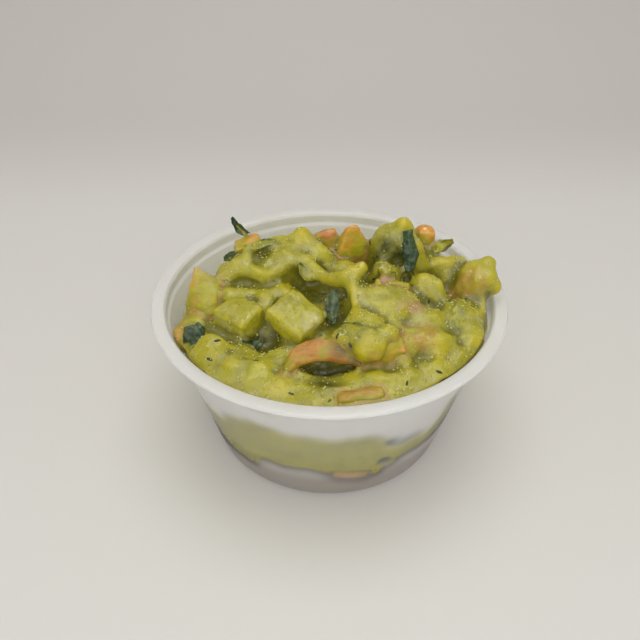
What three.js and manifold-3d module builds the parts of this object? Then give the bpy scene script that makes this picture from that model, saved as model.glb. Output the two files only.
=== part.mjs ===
// A small translucent portion cup heaped with chunky guacamole: mashed avocado with
// diced tomato and onion and chopped coriander leaf. Millimetres, +Z up, the origin at the
// middle of the cup's foot, and the food's lower, smoother side towards -Y.

import * as THREE from 'three';
import { mergeVertices } from 'three/addons/utils/BufferGeometryUtils.js';
import { ImprovedNoise } from 'three/addons/math/ImprovedNoise.js';
import Module from 'manifold-3d';

const wasm = await Module();
wasm.setup();

// ---------------------------------------------------------------- driving dimensions

const CUP_HEIGHT = 35;
const RIM_RADIUS = 37.5;        // outside of the flange that the lid snaps on
const LIP_RADIUS = 34.7;        // inside edge of the flange
const SEAT_RADIUS = 34.35;      // inside of the straight lid seat under the flange
const LEDGE_HEIGHT = 32.4;      // foot of that seat
const WALL_TOP_RADIUS = 34.4;   // outside of the tapered wall, just below the lid seat
const WALL_BASE_RADIUS = 26.1;  // the same wall carried down to the table
const WALL = 0.5;
const CORNER_RADIUS = 3;        // outside, between the wall and the foot
const FOOT_RADIUS = 21.4;       // inside edge of the foot ring
const FOOT_RECESS = 0.7;        // the floor stands this far above the table
const CUP_SEGMENTS = 48;

const GAP = 0.3;                // left between any two pieces that touch
const FOOD_RINGS = 21;          // rings of the heap's top surface
const FOOD_SIDE_ROWS = 6;
const FOOD_SIDE_POINTS = 52;    // points of each row round the heap's side
const FOOD_FLOOR_RADIUS = 12;   // the one ring between the side and the middle of its floor
const FOOD_FLOOR_POINTS = 28;
const CREST = 36.2;             // height of the bare heap in its middle, under its lumps
const BLEND = 0.7;              // how softly one lump runs into the next
const LUMP_SKIRT = 1.8;         // how far a lump's sides run on, in its half widths
const UNEVEN = [                // waves over the whole heap: height, and how many to a millimetre
  { height: 0.6, pitch: 0.33, seed: 3 }, { height: 0.35, pitch: 0.7, seed: 9 },
];

const COLOURS = {
  cup: 0xf0efe9, guacamole: 0xaca43c, tomato: 0xc4702e, tomatoSkin: 0xa8452c,
  onion: 0xc2bc6a, redOnion: 0x8f6a5c, leaf: 0x3b5a3a,
};

// ---------------------------------------------------------------- small helpers

const noise = new ImprovedNoise();
const noise3 = (x, y, z) => noise.noise(x + 100.37, y + 100.71, z + 100.19);
const radians = THREE.MathUtils.degToRad;
const vector = (values) => new THREE.Vector3(...values);

// A soft maximum: k is the size of the fillet between the two surfaces.
function softMax(a, b, k) {
  const h = Math.max(k - Math.abs(a - b), 0) / k;
  return Math.max(a, b) + (h * h * k) / 4;
}
const softMin = (a, b, k) => -softMax(-a, -b, k);

// The value at an angle in degrees between stations [angle, value], which go once round.
function aroundCircle(stations, angle) {
  const a = ((angle % 360) + 360) % 360;
  const count = stations.length;
  for (let i = 0; i < count; i += 1) {
    const [a0, v0] = stations[i];
    const [next, v1] = stations[(i + 1) % count];
    const a1 = next > a0 ? next : next + 360;
    const here = a < a0 ? a + 360 : a;
    if (here >= a0 && here <= a1) {
      const t = (here - a0) / (a1 - a0);
      return v0 + (v1 - v0) * t * t * (3 - 2 * t);
    }
  }
  throw new Error('stations do not go round');
}

function solidFromGeometry(geometry) {
  const bare = geometry.clone();
  bare.deleteAttribute('normal');
  bare.deleteAttribute('uv');
  const merged = mergeVertices(bare, 1e-4);
  return new wasm.Manifold(new wasm.Mesh({
    numProp: 3,
    vertProperties: new Float32Array(merged.attributes.position.array),
    triVerts: new Uint32Array(merged.index.array),
  }));
}

function geometryFromSolid(solid) {
  const mesh = solid.getMesh();
  const geometry = new THREE.BufferGeometry();
  geometry.setAttribute('position', new THREE.BufferAttribute(mesh.vertProperties, 3));
  geometry.setIndex(new THREE.BufferAttribute(mesh.triVerts, 1));
  geometry.computeVertexNormals();
  return geometry;
}

// Cutting can leave loose scraps behind: only the largest body is the piece.
function largestBody(solid) {
  const bodies = solid.decompose();
  return bodies.reduce((best, body) => (body.volume() > best.volume() ? body : best));
}

function gridGeometry(points, triangles) {
  const geometry = new THREE.BufferGeometry();
  geometry.setAttribute('position', new THREE.Float32BufferAttribute(points.flat(), 3));
  geometry.setIndex(triangles);
  return geometry;
}

// ---------------------------------------------------------------- the cup

const WALL_SLOPE = (WALL_TOP_RADIUS - WALL_BASE_RADIUS) / LEDGE_HEIGHT;
const outerWall = (z) => WALL_BASE_RADIUS + WALL_SLOPE * z;
const innerWall = (z) => outerWall(z) - WALL * Math.hypot(1, WALL_SLOPE);

// A rounded corner from the foot up to the wall, as points (radius, height) rising.
function cornerArc(radius, baseHeight, wallAt, steps) {
  const lean = Math.atan(WALL_SLOPE);
  const centreZ = baseHeight + radius;
  const centreR = wallAt(centreZ) - radius / Math.cos(lean);
  return Array.from({ length: steps + 1 }, (unused, i) => {
    const a = -Math.PI / 2 + ((Math.PI / 2 - lean) * i) / steps;
    return new THREE.Vector2(centreR + radius * Math.cos(a), centreZ + radius * Math.sin(a));
  });
}

function cupGeometry() {
  const floorTop = FOOT_RECESS + WALL;
  const outside = cornerArc(CORNER_RADIUS, 0, outerWall, 3);
  const inside = cornerArc(CORNER_RADIUS - WALL, floorTop, innerWall, 3).reverse();
  const profile = [
    [0, FOOT_RECESS], [FOOT_RADIUS - 0.6, FOOT_RECESS], [FOOT_RADIUS, 0],
    ...outside.map((p) => [p.x, p.y]),
    [outerWall(LEDGE_HEIGHT - 0.9), LEDGE_HEIGHT - 0.9],
    [SEAT_RADIUS + WALL, LEDGE_HEIGHT + 0.1], [SEAT_RADIUS + WALL + 0.1, CUP_HEIGHT - 0.9],
    [RIM_RADIUS - 0.4, CUP_HEIGHT - 0.85], [RIM_RADIUS, CUP_HEIGHT - 0.45],
    [RIM_RADIUS - 0.5, CUP_HEIGHT], [LIP_RADIUS + 0.2, CUP_HEIGHT],
    [SEAT_RADIUS, CUP_HEIGHT - 0.5],
    [SEAT_RADIUS - 0.05, LEDGE_HEIGHT + 0.1], [innerWall(LEDGE_HEIGHT - 0.4), LEDGE_HEIGHT - 0.4],
    ...inside.map((p) => [p.x, p.y]),
    [0, floorTop],
  ];
  return new THREE.LatheGeometry(profile.map(([r, z]) => new THREE.Vector2(r, z)), CUP_SEGMENTS)
    .rotateX(Math.PI / 2);
}

// The room that the food may fill: the inside of the cup less the gap, and the air above it.
function roomGeometry() {
  const floor = FOOT_RECESS + WALL + GAP;
  const inside = cornerArc(CORNER_RADIUS - WALL, floor, innerWall, 3);
  const seat = SEAT_RADIUS - 0.1 - GAP;
  const widest = RIM_RADIUS + 5;
  const highest = CUP_HEIGHT + 30;
  const profile = [
    [0, floor], ...inside.map((p) => [p.x - GAP, p.y]),
    [innerWall(LEDGE_HEIGHT - 0.5) - GAP, LEDGE_HEIGHT - 0.5],
    [seat, LEDGE_HEIGHT + 0.6], [seat, CUP_HEIGHT - 0.3],
    [LIP_RADIUS - 0.3, CUP_HEIGHT + GAP], [widest, CUP_HEIGHT + GAP],
    [widest, highest], [0, highest],
  ];
  return new THREE.LatheGeometry(profile.map(([r, z]) => new THREE.Vector2(r, z)), CUP_SEGMENTS)
    .rotateX(Math.PI / 2);
}

// ---------------------------------------------------------------- the heap's surface

// Where the food lies against the wall: the lower and the upper edge of that band.
const BAND_BOTTOM = [[20, 12], [60, 8], [120, 6], [180, 8], [214, 5.5], [228, 3.5], [240, 8.5],
  [250, 12], [262, 12], [278, 8], [292, 7.5], [304, 13], [315, 11], [325, 14], [345, 15]];
const BAND_TOP = [[20, 30], [60, 27], [120, 26], [180, 28], [210, 19], [222, 19], [240, 25],
  [256, 24.5], [266, 21.5], [284, 22.5], [296, 17], [304, 16], [313, 15.5], [320, 24],
  [345, 30]];
// The height and the radius of the heap's edge.
const EDGE_HEIGHT = [[0, 32.4], [40, 29], [75, 26.4], [110, 26.4], [140, 27], [165, 27.8], [190, 30],
  [206, 32.4], [225, 33.2], [270, 33], [315, 33.6], [334, 33.8], [346, 32.8]];
const EDGE_RADIUS = [[0, 32.4], [45, 31.2], [90, 31], [135, 30.6], [180, 31.6], [206, 33],
  [222, 33.7], [270, 33.6], [334, 33.8], [346, 32.6]];

// Lumps that round over the heap: where, how high, half widths, turn in degrees, and how
// far their sides come down. A higher power gives a flatter top with steeper sides.
const LUMPS = [
  // low shelf along the front
  { x: -10.4, y: -27.4, z: 34.6, a: 4.4, b: 2.8, turn: -8, deep: 3, power: 2.6 },
  { x: -14, y: -24, z: 35.6, a: 3.4, b: 3, turn: 20, deep: 3 },
  { x: -18.6, y: -22.6, z: 35.4, a: 3, b: 3.4, turn: 40, deep: 3 },
  { x: -22.6, y: -18.2, z: 37, a: 4, b: 3.9, turn: 50, deep: 6, power: 2.8 },
  { x: -14.6, y: -28.4, z: 33.8, a: 3, b: 2, turn: 20, deep: 2 },
  { x: -1.4, y: -29.6, z: 33.8, a: 4.6, b: 1.8, turn: 0, deep: 2 },
  { x: 8.7, y: -26.6, z: 35.4, a: 3.9, b: 1.6, turn: -8, deep: 2.6, power: 2.4 },
  { x: 14.4, y: -25.6, z: 35.6, a: 3, b: 2.8, turn: 20, deep: 3 },
  { x: 19.6, y: -23, z: 35.6, a: 3.3, b: 2.7, turn: 35, deep: 3 },
  { x: 24.4, y: -19.8, z: 35.4, a: 3, b: 2.4, turn: 40, deep: 3 },
  { x: 20.9, y: -18.2, z: 37.6, a: 4.4, b: 2.5, turn: 22, deep: 3.6, power: 2.4 },
  { x: 28, y: -14.4, z: 36.2, a: 3.2, b: 4.4, turn: -30, deep: 4.4, power: 2.4 },
  // right shoulder
  { x: 25.8, y: -9.4, z: 38.2, a: 4.9, b: 5.4, turn: -20, deep: 6.4, power: 2.8 },
  { x: 15, y: -18.8, z: 38, a: 3.6, b: 3.3, turn: 10, deep: 5.4, power: 2.4 },
  { x: 10.8, y: -9.4, z: 41.6, a: 8, b: 5.6, turn: -16, deep: 5.4, power: 2.8 },
  { x: 9.6, y: -15, z: 39.4, a: 6, b: 4.2, turn: 0, deep: 4.6, power: 2.4 },
  { x: 18, y: -12.8, z: 39.2, a: 5.4, b: 4.2, turn: 15, deep: 4.6, power: 2.4 },
  { x: 19.4, y: -3.6, z: 41.6, a: 3.1, b: 3.6, turn: 10, deep: 4.6, power: 2.4 },
  { x: 22.4, y: -3.8, z: 40.8, a: 1.4, b: 4, turn: 12, deep: 4 },
  { x: 11.4, y: -1, z: 43, a: 3.5, b: 2.8, turn: -10, deep: 4.4, power: 2.4 },
  // the tall lump at the back and its peak
  { x: 13, y: 6.4, z: 46.6, a: 4.6, b: 4.4, turn: 10, deep: 11, power: 4 },
  { x: 15.6, y: 7, z: 48.8, a: 3.4, b: 3.4, turn: 0, deep: 9, power: 2 },
  { x: 17.6, y: 4.2, z: 45.4, a: 3, b: 3.2, turn: 0, deep: 7, power: 2.8 },
  { x: 19, y: 9, z: 42, a: 4.6, b: 5, turn: 0, deep: 6 },
  { x: 24, y: 4.2, z: 40.8, a: 4.4, b: 2.6, turn: -15, deep: 4.4 },
  { x: 28, y: 5.4, z: 41, a: 3.3, b: 1.6, turn: -28, deep: 4.6 },
  { x: 23.5, y: 9, z: 38.6, a: 5.5, b: 3.4, turn: -20, deep: 5 },
  // right end, which stands higher than the rim
  { x: 30.3, y: -0.6, z: 41.8, a: 3.8, b: 4.6, turn: -20, deep: 8, power: 3 },
  { x: 31.4, y: -6, z: 37.4, a: 2.2, b: 4.2, turn: 12, deep: 5 },
  // crest of the left half
  { x: -5.8, y: 7.4, z: 46.2, a: 3, b: 3.2, turn: 0, deep: 4.8, power: 1.8 },
  { x: -10.4, y: 7, z: 44.6, a: 4.6, b: 3.4, turn: 4, deep: 5.4 },
  { x: -15.2, y: 6.6, z: 43.4, a: 3.8, b: 3, turn: 0, deep: 5.4 },
  { x: -2.6, y: 4.2, z: 44.2, a: 4.6, b: 3.2, turn: -38, deep: 5.4, power: 2.4 },
  { x: -8.6, y: 3.2, z: 44, a: 5, b: 3.4, turn: 0, deep: 4.6, power: 2.6 },
  { x: -17.6, y: 2.4, z: 41.8, a: 5.4, b: 2.8, turn: 14, deep: 4.6, power: 2.6 },
  { x: -12.6, y: 1, z: 41.6, a: 3.6, b: 2.6, turn: 0, deep: 4 },
  { x: 3.4, y: 1, z: 41.8, a: 4, b: 3.6, turn: 0, deep: 4.4 },
  // back slope
  { x: -14, y: 13.4, z: 38.6, a: 5.4, b: 4.4, turn: 20, deep: 5, power: 2.4 },
  { x: -4.6, y: 13.6, z: 38.4, a: 4.6, b: 4.6, turn: -10, deep: 5 },
  { x: 6, y: 13.2, z: 38.8, a: 5, b: 4.2, turn: 10, deep: 5, power: 2.4 },
  { x: 15.4, y: 14, z: 38.4, a: 4.8, b: 4.4, turn: 30, deep: 5 },
  { x: 24, y: 14, z: 34.4, a: 4.4, b: 3.8, turn: 40, deep: 4 },
  { x: -22, y: 12.6, z: 34.2, a: 4.2, b: 3.8, turn: 50, deep: 4, power: 2.4 },
  { x: -9.6, y: 20.4, z: 34, a: 4.8, b: 3.8, turn: 14, deep: 4, power: 2.4 },
  { x: 1.4, y: 20.6, z: 34.2, a: 4.4, b: 4, turn: 0, deep: 4 },
  { x: 11.4, y: 20.8, z: 33.8, a: 4.4, b: 3.8, turn: -20, deep: 4, power: 2.4 },
  { x: 19.4, y: 20.4, z: 31.4, a: 4, b: 3.4, turn: -40, deep: 3 },
  { x: -17.6, y: 20, z: 31.4, a: 4, b: 3.6, turn: 40, deep: 3 },
  { x: -5.6, y: 25.4, z: 29.6, a: 4.6, b: 2.6, turn: 8, deep: 2.6, power: 2.4 },
  { x: 5.2, y: 25.6, z: 29.2, a: 3.6, b: 2.4, turn: -12, deep: 2.6 },
  { x: -25.6, y: 5.6, z: 33.6, a: 3, b: 4.2, turn: 10, deep: 4 },
  // slope from the ridge on to the dice
  { x: -18.6, y: -4.4, z: 38.7, a: 4.6, b: 2.6, turn: 4, deep: 2.6, power: 2.4 },
  { x: -12.8, y: -5.8, z: 39.2, a: 2.6, b: 4.6, turn: 0, deep: 3 },
  { x: -9, y: -4.4, z: 39.6, a: 2.6, b: 3.4, turn: 0, deep: 3 },
  // left flank
  { x: -23, y: -4.4, z: 36, a: 2.6, b: 4, turn: 10, deep: 5 },
  { x: -27.2, y: -9, z: 35.2, a: 3, b: 2.4, turn: 20, deep: 4, power: 2.4 },
  { x: -30, y: -9.4, z: 33.8, a: 2, b: 3, turn: 20, deep: 3.4 },
  { x: -24.6, y: -11.6, z: 34.2, a: 2.4, b: 2.4, turn: 0, deep: 3.4 },
  { x: -11.6, y: -20, z: 33.2, a: 2.6, b: 2.2, turn: 0, deep: 2 },
  { x: -9.8, y: -22.8, z: 33.4, a: 3, b: 2, turn: 20, deep: 2 },
];

// Ropes of mash that lie over the heap or bridge a hollow: points, and the radius at each.
const ROPES = [
  { points: [[-24.6, -1.6, 37.4], [-21.4, 0, 38.8], [-17.6, 0.6, 39.8], [-14.4, -0.8, 39.9],
    [-12.2, -1.6, 40], [-10.2, -0.4, 41], [-8, 1.1, 41.9], [-5, 0.6, 41.9]],
    radii: [1.2, 1.6, 1.8, 1.5, 1.3, 1.4, 1.8, 1.7] },
  { points: [[-5, 0.6, 41.9], [-3.2, -1.8, 41.5], [-0.6, -4.2, 41], [2.6, -5.4, 41.6]],
    radii: [1.7, 1.3, 1.3, 1.7] },
  { points: [[4.3, -6.2, 42], [4.7, -9.6, 40.7], [4.9, -12.2, 39.9], [5.8, -15.8, 38.8]],
    radii: [1.8, 0.62, 0.58, 2.4] },
];

// Rounded masses that stand proud of the heap: centre and half widths.
const MASSES = [
  { at: [4.1, -5.2, 42.2], half: [2.7, 2.2, 2], detail: 2 },
  { at: [6.4, -3.8, 43.4], half: [1.4, 1.3, 1.4] },
  { at: [6.2, -17.4, 38.4], half: [3.9, 3.9, 2.9], detail: 2 },
  { at: [7, -21.6, 38.1], half: [3.7, 3.5, 2.7], detail: 2 },
  { at: [3, -19.8, 38.2], half: [2.9, 2.4, 2] },
  { at: [11.2, -19.6, 38.8], half: [1.7, 1.7, 2.2] },
  { at: [13.4, -22.6, 34.6], half: [1.9, 1.8, 1.7] },
  { at: [31, -1, 39.2], half: [3.7, 4.4, 3.5], detail: 2 },
  { at: [34, -2.8, 38.4], half: [1.5, 2, 1.9] },
  { at: [33, 0.6, 41.4], half: [1.7, 1.7, 1.6] },
  { at: [15.6, 6.8, 46.4], half: [2, 2, 2.5] },
  { at: [14.8, -3.6, 41.6], half: [1.1, 1, 2] },
];

// Hollows pressed into the heap: centre, lowest height, half widths, and the rise to the rim.
const HOLLOWS = [
  { x: -12.8, y: -15.4, z: 31.3, a: 4.6, b: 4.4, turn: 14, rise: 4.4 },
  { x: -21, y: -14.9, z: 33, a: 4.6, b: 1.5, turn: -34, rise: 2.4 },
  { x: -0.6, y: -21.8, z: 31, a: 6.4, b: 3.2, turn: 3, rise: 2.6 },
  { x: -0.6, y: -26.4, z: 32.4, a: 6, b: 2.4, turn: 3, rise: 2 },
  { x: 0.4, y: -11, z: 37, a: 2.2, b: 6.2, turn: 4, rise: 5 },
  { x: -3.2, y: -5.2, z: 40, a: 3.2, b: 1.8, turn: -30, rise: 3 },
  { x: -17.4, y: -2.6, z: 37.9, a: 5, b: 1.2, turn: 6, rise: 2 },
  { x: 21, y: -8.4, z: 37.2, a: 1.3, b: 4, turn: 34, rise: 3 },
  { x: -23.6, y: -8.8, z: 33, a: 1.5, b: 3.2, turn: 16, rise: 3 },
  { x: 16.6, y: -22.4, z: 33.2, a: 4.6, b: 1, turn: 12, rise: 3 },
];

function localCoordinates({ x, y, a, b, turn }, px, py) {
  const c = Math.cos(radians(turn));
  const s = Math.sin(radians(turn));
  const u = ((px - x) * c + (py - y) * s) / a;
  const v = (-(px - x) * s + (py - y) * c) / b;
  return Math.hypot(u, v);
}

function lumpHeight(lump, px, py) {
  const d = localCoordinates(lump, px, py);
  if (d > LUMP_SKIRT) return -Infinity;
  const power = lump.power ?? 2;
  const inside = d < 1 ? 1 - (1 - d ** power) ** (1 / power) : 1 + 2.2 * (d - 1);
  return lump.z - lump.deep * inside;
}

function hollowHeight(hollow, px, py) {
  const d = localCoordinates(hollow, px, py);
  return d > 2.5 ? Infinity : hollow.z + hollow.rise * d * d;
}

function foodHeight(px, py) {
  const angle = THREE.MathUtils.radToDeg(Math.atan2(py, px));
  const edge = aroundCircle(EDGE_HEIGHT, angle);
  const d = Math.min(Math.hypot(px, py) / aroundCircle(EDGE_RADIUS, angle), 1);
  let z = edge + (CREST - edge) * (1 - d ** 1.7);
  for (const lump of LUMPS) z = softMax(z, lumpHeight(lump, px, py), BLEND);
  for (const hollow of HOLLOWS) z = softMin(z, hollowHeight(hollow, px, py), BLEND);
  for (const { height, pitch, seed } of UNEVEN) {
    z += height * noise3(px * pitch, py * pitch, seed) * Math.min(1, 4 * (1 - d) + 0.2);
  }
  return z;
}

// How far the food's side stands off the wall at a height: only the gap inside the band.
function sideGap(angle, z) {
  const top = aroundCircle(BAND_TOP, angle);
  const bottom = aroundCircle(BAND_BOTTOM, angle);
  const above = Math.max(z - top, 0);
  const below = Math.max(bottom - z, 0);
  const wobble = 1 + 0.5 * noise3(angle * 0.06, z * 0.3, 5);
  return GAP + 0.1 + above * 0.3 * wobble + Math.min(below, 12) * 0.32 * wobble;
}

function heapSolid() {
  const points = [];
  const triangles = [];
  const rows = [];                    // each row is the list of its points' indices
  const addRow = (count, place) => {
    rows.push(Array.from({ length: count }, (unused, i) => {
      points.push(place((i / count) * Math.PI * 2));
      return points.length - 1;
    }));
  };
  // Joins two rows of different counts with a band of triangles that face outwards.
  const joinRows = (inner, outer) => {
    let i = 0;
    let j = 0;
    while (i < inner.length || j < outer.length) {
      const stepOuter = i >= inner.length
        || (j < outer.length && (j + 1) / outer.length <= (i + 1) / inner.length);
      const a = inner[i % inner.length];
      const b = outer[j % outer.length];
      if (stepOuter) {
        j += 1;
        triangles.push(a, b, outer[j % outer.length]);
      } else {
        i += 1;
        triangles.push(a, b, inner[i % inner.length]);
      }
    }
  };
  const radiusAt = (angle, share) => aroundCircle(EDGE_RADIUS, angle) * share;
  addRow(1, () => [0, 0, foodHeight(0, 0)]);
  for (let ring = 1; ring <= FOOD_RINGS; ring += 1) {
    addRow(6 * ring, (a) => {
      const r = radiusAt(THREE.MathUtils.radToDeg(a), ring / FOOD_RINGS);
      const x = r * Math.cos(a);
      const y = r * Math.sin(a);
      return [x, y, foodHeight(x, y)];
    });
  }
  const floor = FOOT_RECESS + WALL + GAP + 0.05;
  for (let row = 1; row <= FOOD_SIDE_ROWS; row += 1) {
    addRow(FOOD_SIDE_POINTS, (a) => {
      const angle = THREE.MathUtils.radToDeg(a);
      const edge = radiusAt(angle, 1);
      const top = foodHeight(edge * Math.cos(a) * 0.995, edge * Math.sin(a) * 0.995);
      const z = floor + (top - floor) * (1 - row / FOOD_SIDE_ROWS);
      const corner = Math.max(0, 5 - z) ** 2 * 0.2;
      const r = Math.min(innerWall(z) - sideGap(angle, z) - corner, edge + 0.8);
      return [r * Math.cos(a), r * Math.sin(a), z];
    });
  }
  addRow(FOOD_FLOOR_POINTS, (a) => {
    return [FOOD_FLOOR_RADIUS * Math.cos(a), FOOD_FLOOR_RADIUS * Math.sin(a), floor];
  });
  addRow(1, () => [0, 0, floor]);
  for (let i = 0; i + 1 < rows.length; i += 1) joinRows(rows[i], rows[i + 1]);
  return solidFromGeometry(gridGeometry(points, triangles.filter((unused, i, all) => {
    const base = i - (i % 3);
    return new Set([all[base], all[base + 1], all[base + 2]]).size === 3;
  })));
}

// A rope of changing thickness along a smooth curve, closed by a point at each end.
function ropeSolid({ points: path, radii }, sides = 8, stepsPerPoint = 2) {
  const curve = new THREE.CatmullRomCurve3(path.map(vector));
  const steps = (path.length - 1) * stepsPerPoint;
  const frames = curve.computeFrenetFrames(steps);
  const points = [];
  const triangles = [];
  for (let i = 0; i <= steps; i += 1) {
    const place = (i / steps) * (radii.length - 1);
    const from = Math.min(Math.floor(place), radii.length - 2);
    const radius = THREE.MathUtils.lerp(radii[from], radii[from + 1], place - from);
    const middle = curve.getPoint(i / steps);
    for (let side = 0; side < sides; side += 1) {
      const a = (side / sides) * Math.PI * 2;
      const p = middle.clone()
        .addScaledVector(frames.normals[i], radius * Math.cos(a))
        .addScaledVector(frames.binormals[i], radius * Math.sin(a));
      points.push([p.x, p.y, p.z]);
    }
  }
  for (const end of [0, 1]) {
    const beyond = (end ? 0.5 : -0.5) * radii[0];
    const tip = curve.getPoint(end).addScaledVector(curve.getTangent(end), beyond);
    points.push([tip.x, tip.y, tip.z]);
  }
  const first = points.length - 2;
  for (let side = 0; side < sides; side += 1) {
    const next = (side + 1) % sides;
    for (let i = 0; i < steps; i += 1) {
      const [a, b] = [i * sides + side, i * sides + next];
      triangles.push(a, b, b + sides, a, b + sides, a + sides);
    }
    triangles.push(first, next, side, first + 1, steps * sides + side, steps * sides + next);
  }
  return solidFromGeometry(gridGeometry(points, triangles));
}

function massSolid({ at, half, detail = 1 }, index) {
  const geometry = new THREE.IcosahedronGeometry(1, detail);
  const position = geometry.attributes.position;
  const point = new THREE.Vector3();
  for (let i = 0; i < position.count; i += 1) {
    point.fromBufferAttribute(position, i);
    const swell = 1 + 0.22 * noise3(point.x * 1.5 + index * 3, point.y * 1.5, point.z * 1.5);
    position.setXYZ(i, ...half.map((h, k) => at[k] + h * swell * point.getComponent(k)));
  }
  return solidFromGeometry(geometry);
}

// ---------------------------------------------------------------- pieces in the food

// A box with rounded edges, wobbled a little, then shaped by bend(point). grow makes the
// same piece larger all round, which is how its socket in the food is cut.
function block({ size, round, at, turn, steps = [3, 3, 3], wobble = 0.35, seed = 0, bend }, grow = 0) {
  const half = size.map((s) => s / 2 + grow);
  const geometry = new THREE.BoxGeometry(2, 2, 2, ...steps);
  const position = geometry.attributes.position;
  const point = new THREE.Vector3();
  const rounding = Math.min(round + grow, ...half);
  for (let i = 0; i < position.count; i += 1) {
    point.fromBufferAttribute(position, i);
    const full = new THREE.Vector3(point.x * half[0], point.y * half[1], point.z * half[2]);
    const core = full.clone().clamp(
      new THREE.Vector3(...half.map((h) => rounding - h)),
      new THREE.Vector3(...half.map((h) => h - rounding)),
    );
    const out = full.sub(core);
    if (out.length() > 1e-6) out.setLength(rounding);
    const bump = wobble * noise3(point.x * 1.3 + seed, point.y * 1.3, point.z * 1.3 + seed * 0.7);
    const place = core.add(out).addScaledVector(point, bump);
    if (bend) bend(place);
    position.setXYZ(i, place.x, place.y, place.z);
  }
  const rotation = new THREE.Euler(...turn.map(radians), 'XYZ');
  geometry.applyMatrix4(new THREE.Matrix4().makeRotationFromEuler(rotation).setPosition(...at));
  return solidFromGeometry(geometry);
}

// A thin wavy solid that follows a path, with both faces split alike. face points out of
// its upper side; lobes is the number of notches along each edge.
function leaf({ path, half, face, lobes = 2, notch = 0.22, curl = 0.5, wave = 0.35, seed = 0,
  thick = 0.45, rows = 6 }, grow = 0) {
  const curve = new THREE.CatmullRomCurve3(path.map(vector));
  const across = [-1, 0, 1];
  const points = [];
  const triangles = [];
  const length = curve.getLength();
  for (let row = 0; row <= rows; row += 1) {
    const t = row / rows;
    const end = row === 0 ? -grow : row === rows ? grow : 0;
    const along = curve.getTangent(t);
    const middle = curve.getPoint(t).addScaledVector(along, end);
    const sideways = vector(face).cross(along).normalize();
    const up = along.clone().cross(sideways).normalize();
    const swell = Math.sin(Math.PI * (0.12 + 0.8 * t)) ** 0.7;
    const width = half * swell * (1 - notch * Math.abs(Math.sin(Math.PI * lobes * t + seed))) + grow;
    for (const side of [1, -1]) {
      for (const s of across) {
        const lift = curl * s * s + wave * Math.sin(t * length * 1.1 + seed + 2 * s) * Math.abs(s)
          + side * (thick / 2 + grow);
        const p = middle.clone().addScaledVector(sideways, s * width).addScaledVector(up, lift);
        points.push([p.x, p.y, p.z]);
      }
    }
  }
  const at = (row, side, s) => row * 6 + (side > 0 ? 0 : 3) + s;
  const quad = (a, b, c, d) => triangles.push(a, b, c, a, c, d);
  for (let row = 0; row < rows; row += 1) {
    for (let s = 0; s < 2; s += 1) {
      quad(at(row, 1, s), at(row + 1, 1, s), at(row + 1, 1, s + 1), at(row, 1, s + 1));
      quad(at(row, -1, s), at(row, -1, s + 1), at(row + 1, -1, s + 1), at(row + 1, -1, s));
    }
    quad(at(row, 1, 0), at(row, -1, 0), at(row + 1, -1, 0), at(row + 1, 1, 0));
    quad(at(row, 1, 2), at(row + 1, 1, 2), at(row + 1, -1, 2), at(row, -1, 2));
  }
  for (let s = 0; s < 2; s += 1) {
    quad(at(0, 1, s), at(0, 1, s + 1), at(0, -1, s + 1), at(0, -1, s));
    quad(at(rows, 1, s), at(rows, -1, s), at(rows, -1, s + 1), at(rows, 1, s + 1));
  }
  return solidFromGeometry(gridGeometry(points, triangles));
}

// A thick flap between a lower and an upper edge, each a curve from its left to its right
// end, which bulges outwards in the middle. thin is its thickness at the left end, as a share.
function flap({ lower, upper, thick, bulge, thin = 1, columns = 8, rows = 4, wobble = 0.25, seed = 0 },
  grow = 0) {
  const edges = [lower, upper].map((path) => new THREE.CatmullRomCurve3(path.map(vector)));
  const middle = (t, s) => {
    const [a, b] = edges.map((edge) => edge.getPoint(THREE.MathUtils.clamp(t, 0, 1)));
    return a.lerp(b, s);
  };
  const layers = [1, -1].map((side) => {
    const layer = [];
    for (let i = 0; i <= columns; i += 1) {
      for (let j = 0; j <= rows; j += 1) {
        const t = i / columns;
        const s = j / rows;
        const along = middle(Math.min(t + 0.05, 1), s).sub(middle(Math.max(t - 0.05, 0), s)).normalize();
        const upwards = middle(t, 1).sub(middle(t, 0)).normalize();
        const out = along.clone().cross(upwards).normalize();
        const swell = bulge * Math.sin(Math.PI * s) * Math.sin(Math.PI * (0.1 + 0.8 * t));
        const rounded = 1 - 0.35 * Math.abs(2 * s - 1) ** 3;
        const half = (thick / 2) * rounded * (thin + (1 - thin) * Math.min(3 * t, 1)) + grow;
        const bump = wobble * noise3(i * 0.8 + seed, j * 0.9, side);
        const p = middle(t, s).addScaledVector(out, swell + side * half + bump);
        if (i === 0 || i === columns) p.addScaledVector(along, i === 0 ? -grow : grow);
        if (j === 0 || j === rows) p.addScaledVector(upwards, j === 0 ? -grow : grow);
        layer.push([p.x, p.y, p.z]);
      }
    }
    return layer;
  });
  const count = (columns + 1) * (rows + 1);
  const at = (side, i, j) => side * count + i * (rows + 1) + j;
  const triangles = [];
  const quad = (a, b, c, d) => triangles.push(a, b, c, a, c, d);
  for (let i = 0; i < columns; i += 1) {
    for (let j = 0; j < rows; j += 1) {
      quad(at(0, i, j), at(0, i + 1, j), at(0, i + 1, j + 1), at(0, i, j + 1));
      quad(at(1, i, j), at(1, i, j + 1), at(1, i + 1, j + 1), at(1, i + 1, j));
    }
    quad(at(0, i, 0), at(1, i, 0), at(1, i + 1, 0), at(0, i + 1, 0));
    quad(at(0, i, rows), at(0, i + 1, rows), at(1, i + 1, rows), at(1, i, rows));
  }
  for (let j = 0; j < rows; j += 1) {
    quad(at(0, 0, j), at(0, 0, j + 1), at(1, 0, j + 1), at(1, 0, j));
    quad(at(0, columns, j), at(1, columns, j), at(1, columns, j + 1), at(0, columns, j + 1));
  }
  return solidFromGeometry(gridGeometry([...layers[0], ...layers[1]], triangles));
}

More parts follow.
